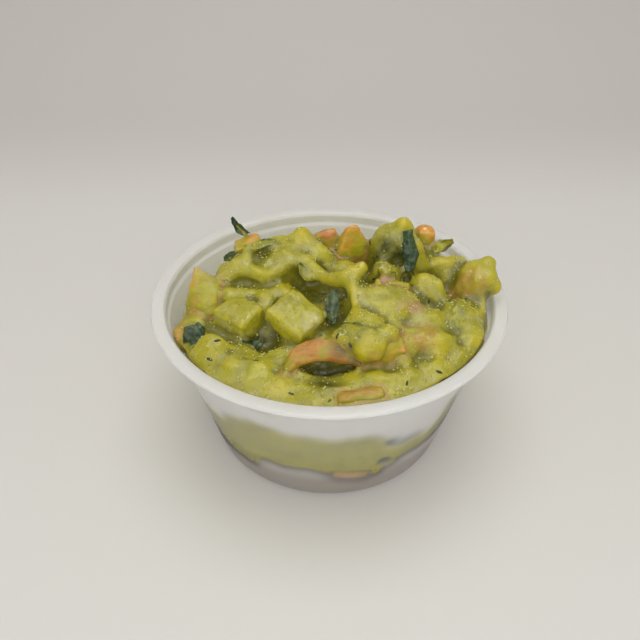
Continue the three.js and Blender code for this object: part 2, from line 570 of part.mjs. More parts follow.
// Narrows a block towards its top.
const taperUp = (height, least) => (p) => {
  const k = 1 - (1 - least) * THREE.MathUtils.clamp(0.5 + p.z / height, 0, 1.1);
  p.x *= k;
  p.y *= k;
};

// A place just inside the cup's wall, by its angle and height.
function onWall(angle, z, inset) {
  const r = innerWall(z) - GAP - inset;
  return [r * Math.cos(radians(angle)), r * Math.sin(radians(angle)), z];
}

const PIECES = {
  tomato_top_left: { kind: 'tomato', at: [-17.2, 7.6, 40.7], size: [6.2, 5, 5.4], round: 1.1,
    turn: [6, -10, 12], steps: [3, 2, 3] },
  tomato_back: { kind: 'tomato', at: [5, 7.2, 42.4], size: [10.8, 5.6, 9.6], round: 1,
    turn: [8, -2, 14], bend: taperUp(9.6, 0.24) },
  tomato_back_skin: { kind: 'tomatoSkin', at: [-0.2, 8.6, 41.2], size: [8, 4.2, 7.6], round: 0.9,
    turn: [4, -12, 10], steps: [2, 2, 3], bend: taperUp(7.6, 0.6) },
  tomato_back_right: { kind: 'tomato', at: [20.7, 10.6, 41.4], size: [4.6, 4.2, 6.8], round: 1.4,
    turn: [4, 8, 10], steps: [3, 2, 3] },
  tomato_front_right: { kind: 'tomato', at: [10, -21, 35.6], size: [8, 4.8, 6], round: 1.1,
    turn: [14, 8, 14] },
  tomato_right: { kind: 'tomato', at: [29, -2.6, 37.8], size: [4, 4, 8], round: 1.2,
    turn: [14, 30, 10] },
  tomato_left_edge: { kind: 'tomato', at: [-30.2, -11.8, 31.3], size: [2.8, 5.4, 4.6], round: 1,
    turn: [0, 0, 20], steps: [2, 2, 2] },
  tomato_front_lip: { kind: 'tomatoSkin', at: [5.4, -30.4, 33], size: [9, 3, 3], round: 1,
    turn: [10, 0, 8], steps: [5, 2, 2] },
  tomato_middle: { kind: 'tomato', at: [17, -17.8, 36.4], size: [6.6, 4.6, 3.2], round: 1.2,
    turn: [24, 8, 6], steps: [2, 2, 2] },
  tomato_low: { kind: 'tomatoSkin', at: onWall(-81, 8.2, 0.9), size: [7.6, 1.8, 2.6], round: 0.7,
    turn: [14, 16, 8], steps: [4, 2, 2] },
  onion_left: { kind: 'onion', at: [-18, -10.4, 35.6], size: [8.8, 7.6, 6], round: 0.9,
    turn: [5, -4, -40] },
  onion_middle: { kind: 'onion', at: [-6.6, -13.2, 37.8], size: [9.6, 9, 4.6], round: 0.9,
    turn: [19, 14, -39] },
  onion_red_upper: { kind: 'redOnion', at: [12.6, -6.2, 40.6], size: [7.2, 2.6, 1.8], round: 0.7,
    turn: [30, 6, -8], steps: [4, 2, 2] },
  onion_red_lower: { kind: 'redOnion', at: [15.4, -11.8, 39.2], size: [5.6, 2.6, 1.8], round: 0.7,
    turn: [28, 10, -8], steps: [4, 2, 2] },
};

const FLAPS = {
  tomato_front: { kind: 'tomatoSkin', thick: 1.8, bulge: 0.4, thin: 0.6, columns: 9,
    lower: [[-9, -26, 33.8], [-5.4, -24.4, 35.2], [-1, -23.9, 36], [3, -24.4, 35.8],
      [5.6, -24.8, 35.2]],
    upper: [[-8.4, -24.4, 35.4], [-7, -21.6, 37.2], [-3.6, -20.2, 38], [1.8, -19.8, 37.8],
      [5.8, -20.4, 37]] },
  tomato_left: { kind: 'tomato', thick: 3.4, bulge: 1.2, seed: 4, columns: 5,
    lower: [[-29.4, -6.2, 32.6], [-26.4, -8, 33], [-22.6, -7.2, 34.6]],
    upper: [[-28, 0.4, 41], [-25.6, 0, 39.4], [-22.4, -1.2, 38.2]] },
};

const LEAVES = {
  leaf_sprig: { path: [[-16.6, 9, 43], [-18.6, 9.8, 43.9], [-20, 10.4, 45.2], [-20.9, 10.6, 47]],
    half: 1, face: [0, -1, 0.6], curl: 0.3, wave: 0.25 },
  leaf_back_left: { path: [[-18, 3.6, 41.2], [-19.9, 4.4, 40.6], [-22, 5, 39.4]], half: 1.1,
    face: [-0.4, -0.5, 1] },
  leaf_crest: { path: [[-17.6, 3.6, 43], [-14.6, 3.9, 43.9], [-11.2, 4.6, 44.4]], half: 1.2,
    face: [0, -0.6, 1] },
  leaf_dark: { path: [[15.8, 3.3, 47.6], [16.3, 1.4, 44.6], [16.4, 0.2, 42], [16.2, -1.2, 40.4]],
    half: 1.9, face: [0, -1, 0.35], curl: -0.4 },
  leaf_curl: { path: [[22.4, 8, 40.2], [24.4, 8.4, 41], [26.8, 8.8, 42]], half: 1.4,
    face: [0, -1, 0.7], wave: 0.5 },
  leaf_left: { path: [[-24.8, -12.2, 35.2], [-26.3, -13.6, 34], [-27.8, -14.8, 31.9]], half: 2.4,
    face: [-0.3, -0.8, 0.8], wave: 0.5 },
  leaf_under_ridge: { path: [[-6.2, -1.6, 43], [-5, -2.8, 41.6], [-4, -4.4, 40.6]], half: 1,
    face: [0, -1, 0.4] },
  leaf_hollow: { path: [[1, -7.6, 40.6], [0.4, -11, 39], [0.5, -15.4, 38]], half: 1.5,
    face: [0.1, -0.5, 1] },
  leaf_green: { path: [[9.8, -3.2, 43.2], [11.8, -3.6, 43], [13.4, -3.6, 42.2]], half: 1,
    face: [0, -0.7, 1] },
  leaf_right: { path: [[26.9, -7.4, 38.2], [25.2, -11.4, 37.4], [23.4, -14.4, 35.6]], half: 1.3,
    face: [0.3, -0.4, 1] },
  leaf_pocket: { path: [[-16.8, -16.4, 34], [-15, -16.4, 33.4], [-13, -15.4, 33.4]],
    half: 1.2, face: [0, -0.7, 1] },
  leaf_front: { path: [[2.2, -18.6, 39.9], [5, -20.3, 40.3], [8.2, -20.6, 40.2]], half: 1.6,
    face: [0, -0.9, 0.8] },
  leaf_wall_streak: { path: [onWall(-68, 18.6, 0.5), onWall(-61, 17.8, 0.5),
      onWall(-53, 17.6, 0.5)], half: 1.1, face: [0.5, -1, -0.2], curl: 0, wave: 0.15 },
  leaf_wall_low: { path: [onWall(-69, 11.8, 0.5), onWall(-64, 10.8, 0.5)], half: 1, rows: 4,
    face: [0.4, -1, -0.2], curl: 0, wave: 0.15 },
};

// ---------------------------------------------------------------- put together

const room = solidFromGeometry(roomGeometry());
const group = new THREE.Group();

function addNode(name, geometry, colour, roughness) {
  const material = new THREE.MeshStandardMaterial({ color: colour, roughness, metalness: 0 });
  const mesh = new THREE.Mesh(geometry, material);
  mesh.name = name;
  group.add(mesh);
}

addNode('cup', cupGeometry(), COLOURS.cup, 0.45);

// The pieces keep a gap to one another: each is cut back from those before it.
const makers = [
  ...Object.entries(FLAPS).map(([name, piece]) => [name, piece.kind, (grow) => flap(piece, grow)]),
  ...Object.entries(PIECES).map(([name, piece]) => [name, piece.kind, (grow) => block(piece, grow)]),
  ...Object.entries(LEAVES).map(([name, piece]) => [name, 'leaf', (grow) => leaf(piece, grow)]),
];
let sockets = null;
for (const [name, kind, make] of makers) {
  let solid = make(0).intersect(room);
  if (sockets) solid = solid.subtract(sockets);
  addNode(name, geometryFromSolid(largestBody(solid)), COLOURS[kind], kind === 'leaf' ? 0.5 : 0.35);
  const socket = make(GAP);
  sockets = sockets ? sockets.add(socket) : socket;
}
let mash = heapSolid();
for (const rope of ROPES) mash = mash.add(ropeSolid(rope));
for (const [index, mass] of MASSES.entries()) mash = mash.add(massSolid(mass, index));
const food = largestBody(mash.intersect(room).subtract(sockets));
addNode('guacamole', geometryFromSolid(food), COLOURS.guacamole, 0.35);

export default group;
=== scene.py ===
"""A portion cup heaped with chunky guacamole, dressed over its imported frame.

The mash is one skin drawn over the heap and over most of the pieces in it. Diced tomato,
onion and leaf show where that film is thin or has slipped off them. Lengths are millimetres
where no comment says metres, +Z up, and are turned to metres where a mesh is made.
"""

import math

import bmesh
import bpy
import numpy as np
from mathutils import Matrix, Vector, noise
from mathutils.bvhtree import BVHTree


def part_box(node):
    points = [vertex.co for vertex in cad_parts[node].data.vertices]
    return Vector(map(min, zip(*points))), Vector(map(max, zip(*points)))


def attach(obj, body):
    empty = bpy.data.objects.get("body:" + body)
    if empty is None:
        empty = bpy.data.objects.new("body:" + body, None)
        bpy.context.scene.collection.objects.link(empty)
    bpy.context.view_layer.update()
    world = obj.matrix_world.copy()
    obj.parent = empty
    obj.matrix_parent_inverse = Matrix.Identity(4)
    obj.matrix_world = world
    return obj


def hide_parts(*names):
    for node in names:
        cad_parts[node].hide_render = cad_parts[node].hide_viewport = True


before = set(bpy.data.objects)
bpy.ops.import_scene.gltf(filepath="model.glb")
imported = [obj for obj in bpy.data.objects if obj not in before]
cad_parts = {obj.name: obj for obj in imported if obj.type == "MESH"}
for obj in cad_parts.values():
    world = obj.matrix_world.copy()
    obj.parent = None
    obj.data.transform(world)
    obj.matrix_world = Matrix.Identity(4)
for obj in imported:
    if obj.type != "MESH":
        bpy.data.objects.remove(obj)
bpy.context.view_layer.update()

MM = 0.001
BODY = "root"

# ------------------------------------------------------------------ driving dimensions

CUP_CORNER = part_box("cup")[1]
RIM_RADIUS = CUP_CORNER.x / MM
CUP_HEIGHT = CUP_CORNER.z / MM
LIP_RADIUS = RIM_RADIUS - 2.8
SEAT_RADIUS = LIP_RADIUS - 0.35
LEDGE_HEIGHT = CUP_HEIGHT - 2.6
WALL_TOP_RADIUS = RIM_RADIUS - 3.1
WALL_BASE_RADIUS = 26.1
WALL_THICKNESS = 0.5
CORNER_RADIUS = 3.0
FOOT_RADIUS = 21.4
FOOT_RECESS = 0.7
FLOOR_TOP = FOOT_RECESS + WALL_THICKNESS
FLANGE_DEPTH = 0.95
WALL_SLOPE = (WALL_TOP_RADIUS - WALL_BASE_RADIUS) / LEDGE_HEIGHT
WALL_END = LEDGE_HEIGHT - 1

# How finely the skins are drawn.
MASH_VOXEL = 0.45
PIECE_VOXEL = 0.28

# The mash fills the gaps round its pieces and what is narrower than the reach, and is then
# drawn in a little.
SOCKET_FILL = 0.3
CLOSING_REACH = 0.35
CLOSING_PASSES = 3
DRAWN_IN = 0.12

# Mash and pieces this close to the wall are pressed on to it, and reach just into it.
MASH_GRIP = 0.7
PIECE_GRIP = 0.8
WALL_BITE = 0.12

# How near the mash's skin a piece takes on the mash's colour.
FILM_REACH = 0.7
LEAF_FILM_REACH = 0.25

# The point that a lifted leaf moves away from.
HEAP_MIDDLE = (0, 0, 25)

TOMATOES = [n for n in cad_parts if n.startswith("tomato")]
ONIONS = [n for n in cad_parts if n.startswith("onion") and "red" not in n]
RED_ONIONS = [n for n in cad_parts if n.startswith("onion_red")]
LEAVES = [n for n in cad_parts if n.startswith("leaf")]


def outer_wall(z):
    """The wall's outer radius at a height."""
    return WALL_BASE_RADIUS + WALL_SLOPE * z


def inner_wall(z):
    """The wall's inner radius at a height."""
    return outer_wall(z) - WALL_THICKNESS * math.hypot(1, WALL_SLOPE)


def linear(red, green, blue):
    """A colour given as 0-255 screen values, as the renderer wants it."""
    def one(value):
        share = value / 255
        return share / 12.92 if share <= 0.04045 else ((share + 0.055) / 1.055) ** 2.4
    return (one(red), one(green), one(blue), 1.0)


# ------------------------------------------------------------------ colours

AVOCADO_DARK = linear(166, 159, 36)
AVOCADO = linear(186, 179, 44)
AVOCADO_YELLOW = linear(204, 190, 32)
AVOCADO_OLIVE = linear(140, 141, 42)
AVOCADO_PALE = linear(190, 187, 106)
# Pale specks are pale froth and painted sparkle of the wet grain; dark specks are painted shade in the
# pits between.
MASH_PALE_SPARKLE_SPECK = linear(212, 204, 96)
MASH_PIT_SHADE_SPECK = linear(128, 124, 36)
# Painted highlight on the crests of the mash, and painted shade in its folds.
MASH_CREST_HIGHLIGHT = linear(196, 182, 22)
MASH_FOLD_SHADE = linear(104, 102, 32)
MASH_YELLOW = linear(208, 190, 26)
# Painted shade, olive, in hollows and under what hangs over the mash.
MASH_OLIVE_SHADE = linear(72, 78, 32)
MASH_BY_LEAF = linear(96, 108, 46)
MASH_BY_ONION = linear(194, 188, 100)
MASH_BY_RED_ONION = linear(184, 132, 96)
MASH_BY_TOMATO = linear(192, 146, 74)
# Froth is pale, and made paler still as painted sparkle.
FROTH = linear(214, 206, 104)
FROTH_PALE_SPARKLE = linear(228, 224, 150)

TOMATO = linear(238, 182, 80)
TOMATO_DEEP = linear(224, 150, 64)
TOMATO_BROWN = linear(206, 148, 62)
TOMATO_BROWN_DEEP = linear(178, 114, 48)
TOMATO_RED = linear(228, 170, 92)
TOMATO_RED_DEEP = linear(198, 116, 66)
TOMATO_PALE_FIBRE = linear(222, 186, 104)
TOMATO_DARK_FIBRE = linear(136, 92, 36)
TOMATO_SHADE = linear(92, 70, 16)

ONION = linear(198, 192, 98)
ONION_PALE = linear(206, 202, 152)
# Pale specks: the film's froth with painted sparkle; dark specks: painted shade in its pits.
ONION_PALE_SPARKLE_SPECK = linear(212, 206, 112)
ONION_PIT_SHADE_SPECK = linear(136, 130, 52)
ONION_EDGE = linear(196, 182, 36)
RED_ONION = linear(162, 116, 90)
RED_ONION_DEEP = linear(118, 72, 70)

LEAF = linear(36, 56, 36)
LEAF_LIGHT = linear(64, 86, 46)
LEAF_VEIN = linear(98, 120, 66)

PLASTIC = linear(244, 243, 236)
PLASTIC_WHITE = linear(248, 246, 241)
# Painted shade low on the wall: the dark gap inside it and the shadow round the foot.
PLASTIC_LOW_SHADE = linear(176, 166, 158)
CLEAR_TINT = (0.92, 0.93, 0.95, 1.0)

PAPER = linear(233, 231, 226)
PAPER_WHITE = linear(235, 233, 229)
# Painted shade on the paper where it rises behind the cup.
PAPER_RISING_SHADE = linear(212, 209, 204)
PAPER_UPRIGHT_SHADE = linear(200, 197, 191)


# ------------------------------------------------------------------ materials: the helpers


# How far apart two seeds lie in the fourth direction of a noise.
NOISE_SEED_STEP = 3.7

# How wide a bubble's dome is in its cell.
DOME_REACH = 0.42


class Number:
    """A number that varies over a surface. Arithmetic on it adds Math nodes."""

    def __init__(self, finish, socket):
        self.finish = finish
        self.socket = socket

    def math(self, operation, *others):
        """A Math node that works on this number and the others."""
        values = dict(enumerate((self,) + others))
        node = self.finish.node("ShaderNodeMath", {"operation": operation}, values)
        return Number(self.finish, node.outputs[0])

    def __add__(self, other):
        return self.math("ADD", other)

    def __sub__(self, other):
        return self.math("SUBTRACT", other)

    def __rsub__(self, other):
        return self.math("MULTIPLY", -1.0).math("ADD", other)

    def __mul__(self, other):
        return self.math("MULTIPLY", other)

    __radd__ = __add__
    __rmul__ = __mul__

    def ramp(self, low, high):
        """0 below low, 1 above high, and a smooth step between."""
        values = {"Value": self, "From Min": low, "From Max": high}
        node = self.finish.node("ShaderNodeMapRange", {"interpolation_type": "SMOOTHSTEP"}, values)
        return Number(self.finish, node.outputs["Result"])


class Finish:
    """A material under construction."""

    def __init__(self, name):
        self.material = bpy.data.materials.new(name)
        self.material.use_nodes = True
        self.tree = self.material.node_tree
        self.tree.nodes.clear()
        self.place = self.node("ShaderNodeTexCoord").outputs["Object"]

    def node(self, kind, settings=None, values=None):
        """Any node: its settings first, then the values or links of its sockets."""
        made = self.tree.nodes.new(kind)
        for key, value in (settings or {}).items():
            setattr(made, key, value)
        for key, value in (values or {}).items():
            self.give(made.inputs[key], value)
        return made

    def give(self, socket, value):
        """Sets a socket to a constant, or links it to what varies."""
        source = value.socket if isinstance(value, Number) else value
        if isinstance(source, bpy.types.NodeSocket):
            self.tree.links.new(source, socket)
        else:
            socket.default_value = source

    def noise(self, size, detail=2.0, roughness=0.5, stretch=None, seed=0):
        """Soft blotches about size millimetres across, around 0.5."""
        place = self.place
        if stretch:
            place = self.node("ShaderNodeMapping", None, {"Vector": place, "Scale": stretch}).outputs[0]
        values = {"Vector": place, "W": NOISE_SEED_STEP * seed, "Scale": 1 / (size * MM),
                  "Detail": detail, "Roughness": roughness}
        node = self.node("ShaderNodeTexNoise", {"noise_dimensions": "4D"}, values)
        return Number(self, node.outputs["Fac"])

    def voronoi(self, size, feature):
        """What a pattern of cells about size millimetres across gives."""
        values = {"Vector": self.place, "Scale": 1 / (size * MM)}
        return self.node("ShaderNodeTexVoronoi", {"feature": feature}, values).outputs

    def cell_edges(self, size):
        """0 along the edges of cells about size millimetres across, and more inside them."""
        return Number(self, self.voronoi(size, "DISTANCE_TO_EDGE")["Distance"])

    def bubbles(self, size, bare):
        """Small domes about size millimetres apart, on all but that share of the surface."""
        cells = self.voronoi(size, "F1")
        dome = 1 - Number(self, cells["Distance"]).ramp(0.0, DOME_REACH)
        return dome * Number(self, cells["Color"]).ramp(bare, bare + 0.02)

    def painted(self, name):
        """What a mesh carries at each vertex under that name."""
        node = self.node("ShaderNodeAttribute", {"attribute_name": name})
        return Number(self, node.outputs["Fac"])

    def mix(self, share, first, second):
        """From the first colour at 0 to the second at 1."""
        node = self.node("ShaderNodeMix", {"data_type": "RGBA"})
        for key, value in ((0, share), (6, first), (7, second)):
            self.give(node.inputs[key], value)
        return node.outputs[2]

    def bump(self, height, depth, below=None):
        """A normal from a height of 0 to 1 that stands for depth millimetres."""
        values = {"Height": height, "Distance": depth * MM, "Strength": 1.0}
        if below is not None:
            values["Normal"] = below
        return self.node("ShaderNodeBump", None, values).outputs[0]

    def surface(self, **values):
        """A Principled shader, with each value under its socket's name."""
        names = {key: key.replace("_", " ").title().replace("Ior", "IOR") for key in values}
        sockets = {names[key]: value for key, value in values.items()}
        return self.node("ShaderNodeBsdfPrincipled", None, sockets).outputs[0]

    def done(self, shader):
        """Ends the material in that shader."""
        self.node("ShaderNodeOutputMaterial", None, {"Surface": shader})
        return self.material


def soft(weight, by_colour, depth):
    """How light spreads inside a stuff: how much of it, how far by colour, millimetres deep."""
    return {"subsurface_weight": weight, "subsurface_radius": by_colour,
            "subsurface_scale": depth * MM}


# ------------------------------------------------------------------ materials: the finishes


def mash_tone(f):
    """The colour of mashed avocado: yellow-green, clearer yellow, paler or more olive in places."""
    broad = f.noise(7.0)
    patch = f.noise(2.6, seed=1)
    pale = f.noise(3.6, seed=2)
    colour = f.mix(broad.ramp(0.38, 0.64), AVOCADO_DARK, AVOCADO)
    colour = f.mix(patch.ramp(0.5, 0.7) * 0.45, colour, AVOCADO_YELLOW)
    colour = f.mix((1 - patch).ramp(0.52, 0.74) * 0.45, colour, AVOCADO_OLIVE)
    return f.mix(pale.ramp(0.5, 0.72) * 0.5, colour, AVOCADO_PALE)


def wet_relief(f):
    """The relief of wet mash: soft lumps, fine grain, and fields of tiny bubbles."""
    frothy = f.noise(4.5, seed=4).ramp(0.42, 0.6)
    grain = f.noise(0.45, 3.0, 0.65, seed=3)
    lumps = f.bump(f.noise(1.4), 0.18)
    return f.bump(grain * 0.5 + f.bubbles(0.55, 0.6) * (frothy * 0.7 + 0.3), 0.2, lumps)


def filmed(f, bare):
    """A piece's own colour under patches of mash, which close up where it dips into the mash."""
    patches = f.noise(2.2, 3.0, 0.6, seed=5).ramp(0.36, 0.66)
    film = (f.painted("film") + (patches * 0.6 + 0.3) * f.painted("smear")).ramp(0.0, 1.0)
    return f.mix(film, bare, mash_tone(f))


def mash_finish():
    """Mashed avocado, wet and grainy, tinted by what lies under it, with painted highlight on its
    crests, painted shade in its folds and hollows, and specks of painted sparkle.
    """
    f = Finish("mashed_avocado")
    crest = f.painted("crest")
    patch = f.noise(1.6, 3.0, 0.6, seed=6).ramp(0.4, 0.6)
    speck = f.noise(0.45, 3.0, 0.7, seed=8)
    colour = mash_tone(f)
    # Specks: pale froth with painted sparkle, and painted shade in the pits between.
    colour = f.mix(speck.ramp(0.54, 0.72) * 0.4, colour, MASH_PALE_SPARKLE_SPECK)
    colour = f.mix((1 - speck).ramp(0.56, 0.72) * 0.3, colour, MASH_PIT_SHADE_SPECK)
    # Painted highlight where the mash stands up, and painted shade where it folds.
    colour = f.mix(crest.ramp(0.1, 0.9) * 0.7, colour, MASH_CREST_HIGHLIGHT)
    colour = f.mix((crest * -1).ramp(0.05, 0.9) * 0.75, colour, MASH_FOLD_SHADE)
    colour = f.mix(f.painted("yellow") * (0.5 + patch * 0.3), colour, MASH_YELLOW)
    # Painted shade in the hollows and overhangs listed under olive.
    colour = f.mix(f.painted("olive") * (0.7 + patch * 0.3), colour, MASH_OLIVE_SHADE)
    colour = f.mix(f.painted("near_leaf") * (0.15 + patch * 0.5), colour, MASH_BY_LEAF)
    colour = f.mix(f.painted("near_onion") * (patch * 0.3), colour, MASH_BY_ONION)
    colour = f.mix(f.painted("near_red_onion") * (0.45 + patch * 0.5), colour, MASH_BY_RED_ONION)
    colour = f.mix(f.painted("near_tomato") * (0.3 + patch * 0.5), colour, MASH_BY_TOMATO)
    return f.done(f.surface(
        base_color=colour, roughness=patch * 0.08 + 0.12, normal=wet_relief(f), ior=1.48,
        **soft(0.4, (1.0, 0.9, 0.3), 1.6)))


def tomato_finish(name, flesh, skin):
    """Diced tomato: wet flesh and blotches of skin, with fibres and a film of mash."""
    f = Finish(name)
    blotch = f.noise(3.4, 3.0, 0.6, seed=7)
    fibre = f.noise(0.7, 3.0, 0.6, stretch=(0.35, 1.0, 0.7))
    colour = f.mix(blotch.ramp(0.34, 0.7), flesh, skin)
    colour = f.mix(fibre.ramp(0.48, 0.72) * 0.35, colour, TOMATO_PALE_FIBRE)
    colour = f.mix((1 - fibre).ramp(0.52, 0.74) * 0.5, colour, TOMATO_DARK_FIBRE)
    colour = filmed(f, colour)
    colour = f.mix(f.painted("shade") * 0.9, colour, TOMATO_SHADE)
    normal = f.bump(f.noise(0.4, 2.0, 0.7), 0.12, f.bump(fibre, 0.2))
    return f.done(f.surface(
        base_color=colour, roughness=blotch * 0.14 + 0.12, normal=normal, ior=1.42,
        **soft(0.4, (1.0, 0.6, 0.25), 1.4)))


def onion_finish(name, body, streak):
    """Diced onion: glassy, filmed with mash, with fine lines along its layers."""
    f = Finish(name)
    line = f.noise(0.9, stretch=(0.3, 1.0, 1.0))
    speck = f.noise(0.45, 3.0, 0.7, seed=8)
    colour = f.mix(line.ramp(0.5, 0.7) * 0.25, body, streak)
    colour = filmed(f, colour)
    # Pale specks of froth with painted sparkle, and painted shade in the pits.
    colour = f.mix(speck.ramp(0.54, 0.72) * 0.35, colour, ONION_PALE_SPARKLE_SPECK)
    colour = f.mix((1 - speck).ramp(0.56, 0.72) * 0.25, colour, ONION_PIT_SHADE_SPECK)
    colour = f.mix(f.painted("glassy") * (0.45 + speck * 0.5), colour, streak)
    colour = f.mix(f.painted("edge") * 0.8, colour, ONION_EDGE)
    return f.done(f.surface(
        base_color=colour, roughness=line * 0.06 + 0.1, normal=wet_relief(f), ior=1.48,
        **soft(0.5, (1.0, 0.95, 0.5), 1.8)))


def leaf_finish(name):
    """Chopped coriander: dark blue-green, wet, brighter along its veins, smeared with mash."""
    f = Finish(name)
    vein = f.cell_edges(1.3)
    tone = f.noise(1.8, 3.0, 0.6)
    colour = f.mix(tone.ramp(0.38, 0.64), LEAF, LEAF_LIGHT)
    colour = f.mix((1 - vein).ramp(0.9, 0.99) * 0.25, colour, LEAF_VEIN)
    colour = filmed(f, colour)
    normal = f.bump(f.noise(0.4), 0.08, f.bump(vein, 0.12))
    return f.done(f.surface(
        base_color=colour, roughness=0.24, normal=normal, ior=1.42,
        **soft(0.15, (0.6, 1.0, 0.3), 0.6)))


def bubble_finish():
    """Froth: paler than the mash that it stands on, paler still as painted sparkle, and glossy."""
    f = Finish("bubble_skin")
    colour = f.mix(f.noise(3.0).ramp(0.4, 0.6), FROTH, FROTH_PALE_SPARKLE)
    return f.done(f.surface(
        base_color=colour, roughness=0.1, ior=1.4, **soft(0.4, (1.0, 0.9, 0.4), 0.8)))


def cup_finish():
    """Milky polypropylene, clear enough to see what is pressed against it."""
    f = Finish("milky_plastic")
    cloud = f.noise(9.0)
    colour = f.mix(cloud.ramp(0.3, 0.7), PLASTIC, PLASTIC_WHITE)
    # Painted shade, greyer low down on the wall.
    colour = f.mix(f.painted("low") * 0.85, colour, PLASTIC_LOW_SHADE)
    body = f.surface(
        base_color=colour, roughness=cloud * 0.06 + 0.3, ior=1.46,
        **soft(1.0, (1.0, 1.0, 0.95), 1.2))
    clear = f.node("ShaderNodeBsdfTransparent", None, {"Color": CLEAR_TINT}).outputs[0]
    mixed = f.node("ShaderNodeMixShader", None, {0: f.painted("clear"), 1: body, 2: clear})
    return f.done(mixed.outputs[0])


# From where to where painted shade greys the paper as it rises behind the cup, in metres.
STARTS_TO_RISE = (0.1, 0.17)
STANDS_UPRIGHT = (0.16, 0.3)


def sweep_finish():
    """Pale paper with painted shade, greyer where it starts to rise behind the cup."""
    f = Finish("pale_paper")
    back = Number(f, f.node("ShaderNodeSeparateXYZ", None, {0: f.place}).outputs["Y"])
    colour = f.mix(f.noise(60.0), PAPER, PAPER_WHITE)
    colour = f.mix(back.ramp(*STARTS_TO_RISE), colour, PAPER_RISING_SHADE)
    colour = f.mix(back.ramp(*STANDS_UPRIGHT), colour, PAPER_UPRIGHT_SHADE)
    return f.done(f.surface(base_color=colour, roughness=0.6, specular_ior_level=0.25))


# ------------------------------------------------------------------ meshes: the helpers


# Points of a CAD node that lie this close are one point.
WELD_REACH = 0.01

# How far apart two seeds lie in each direction of a mesh's noise.
ROUGH_SEED_STEPS = (7.3, 3.1, 5.7)


def object_from(bm, name):
    """An object with a bmesh's shape. The bmesh is used up."""
    mesh = bpy.data.meshes.new(name)
    bm.to_mesh(mesh)
    bm.free()
    made = bpy.data.objects.new(name, mesh)
    bpy.context.scene.collection.objects.link(made)
    return made


def welded(node, cuts=0):
    """A closed copy of a CAD node's mesh as a bmesh, its edges cut into cuts + 1."""
    bm = bmesh.new()
    bm.from_mesh(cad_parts[node].data)
    bmesh.ops.remove_doubles(bm, verts=bm.verts, dist=WELD_REACH * MM)
    if cuts:
        bmesh.ops.subdivide_edges(bm, edges=bm.edges, cuts=cuts, use_grid_fill=True)
    bm.normal_update()
    return bm


def joined(parts, name):
    """One object from several bmeshes, which are used up."""
    whole = bmesh.new()
    for part in parts:
        mesh = bpy.data.meshes.new("part")
        part.to_mesh(mesh)
        part.free()
        whole.from_mesh(mesh)
        bpy.data.meshes.remove(mesh)
    return object_from(whole, name)


def evaluated(made):
    """Applies what modifiers an object has."""
    graph = bpy.context.evaluated_depsgraph_get()
    mesh = bpy.data.meshes.new_from_object(made.evaluated_get(graph))
    old = made.data
    made.modifiers.clear()
    made.data = mesh
    bpy.data.meshes.remove(old)
    return made


def remeshed(made, voxel):
    """One closed skin round everything in the object, voxel millimetres fine."""
    modifier = made.modifiers.new("skin", "REMESH")
    modifier.mode = "VOXEL"
    modifier.voxel_size = voxel * MM
    return evaluated(made)


def points_of(mesh):
    """A mesh's points in millimetres, one row each."""
    points = np.empty(len(mesh.vertices) * 3)
    mesh.vertices.foreach_get("co", points)
    return points.reshape(-1, 3) / MM


def set_points(mesh, points):
    """Moves a mesh's points to those places."""
    mesh.vertices.foreach_set("co", (points * MM).ravel())
    mesh.update()


def normals_of(mesh):
    """The way out at each point of a mesh."""
    normals = np.empty(len(mesh.vertices) * 3)
    mesh.vertex_normals.foreach_get("vector", normals)
    return normals.reshape(-1, 3)


def edges_of(mesh):
    """The two points of each edge of a mesh."""
    edges = np.empty(len(mesh.edges) * 2, np.int64)
    mesh.edges.foreach_get("vertices", edges)
    return edges.reshape(-1, 2)


def relaxed(points, edges, times, share=0.5):
    """Each row of values drawn towards the middle of its neighbours' values."""
    ends = np.concatenate([edges[:, 0], edges[:, 1]])
    others = np.concatenate([edges[:, 1], edges[:, 0]])
    count = np.maximum(np.bincount(ends, minlength=len(points)), 1)[:, None]
    for _ in range(times):
        total = np.stack([np.bincount(ends, column[others], len(points)) for column in points.T], 1)
        points = points + share * (total / count - points)
    return points


def rough(points, size, seed, octaves=2):
    """Noise from -1 to 1 at each point, with bumps about size millimetres across."""
    offset = Vector([seed * step for step in ROUGH_SEED_STEPS])
    return np.array([noise.fractal(Vector(p) / size + offset, 1.0, 2.0, octaves) for p in points])


def shift_out(mesh, amount):
    """Moves a mesh's skin outwards by so many millimetres."""
    set_points(mesh, points_of(mesh) + normals_of(mesh) * amount)


def paint(mesh, name, values):
    """Gives each point of a mesh a value under that name, for its material to read."""
    layer = mesh.attributes.new(name, "FLOAT", "POINT")
    layer.data.foreach_set("value", np.asarray(values, np.float32))


def shade_smooth(mesh):
    """Shades a whole mesh as one soft surface."""
    mesh.polygons.foreach_set("use_smooth", np.ones(len(mesh.polygons), bool))


def eased(share):
    """A share from 0 to 1 that leaves 0 and reaches 1 gently."""
    return share * share * (3 - 2 * share)


def tree_over(*meshes):
    """One search tree over several meshes, in millimetres."""
    points = []
    faces = []
    for mesh in meshes:
        first = len(points)
        points.extend(v.co / MM for v in mesh.vertices)
        faces.extend([first + i for i in p.vertices] for p in mesh.polygons)
    return BVHTree.FromPolygons(points, faces)


def nearness(points, tree, reach):
    """1 on the tree's faces, falling to 0 at reach millimetres."""
    found = [tree.find_nearest(Vector(p), reach)[3] for p in points]
    return np.array([0 if distance is None else 1 - distance / reach for distance in found])


def nearness_to_nodes(points, nodes, reach):
    """1 on the CAD nodes' surface, falling to 0 at reach millimetres."""
    return nearness(points, tree_over(*(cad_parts[node].data for node in nodes)), reach)


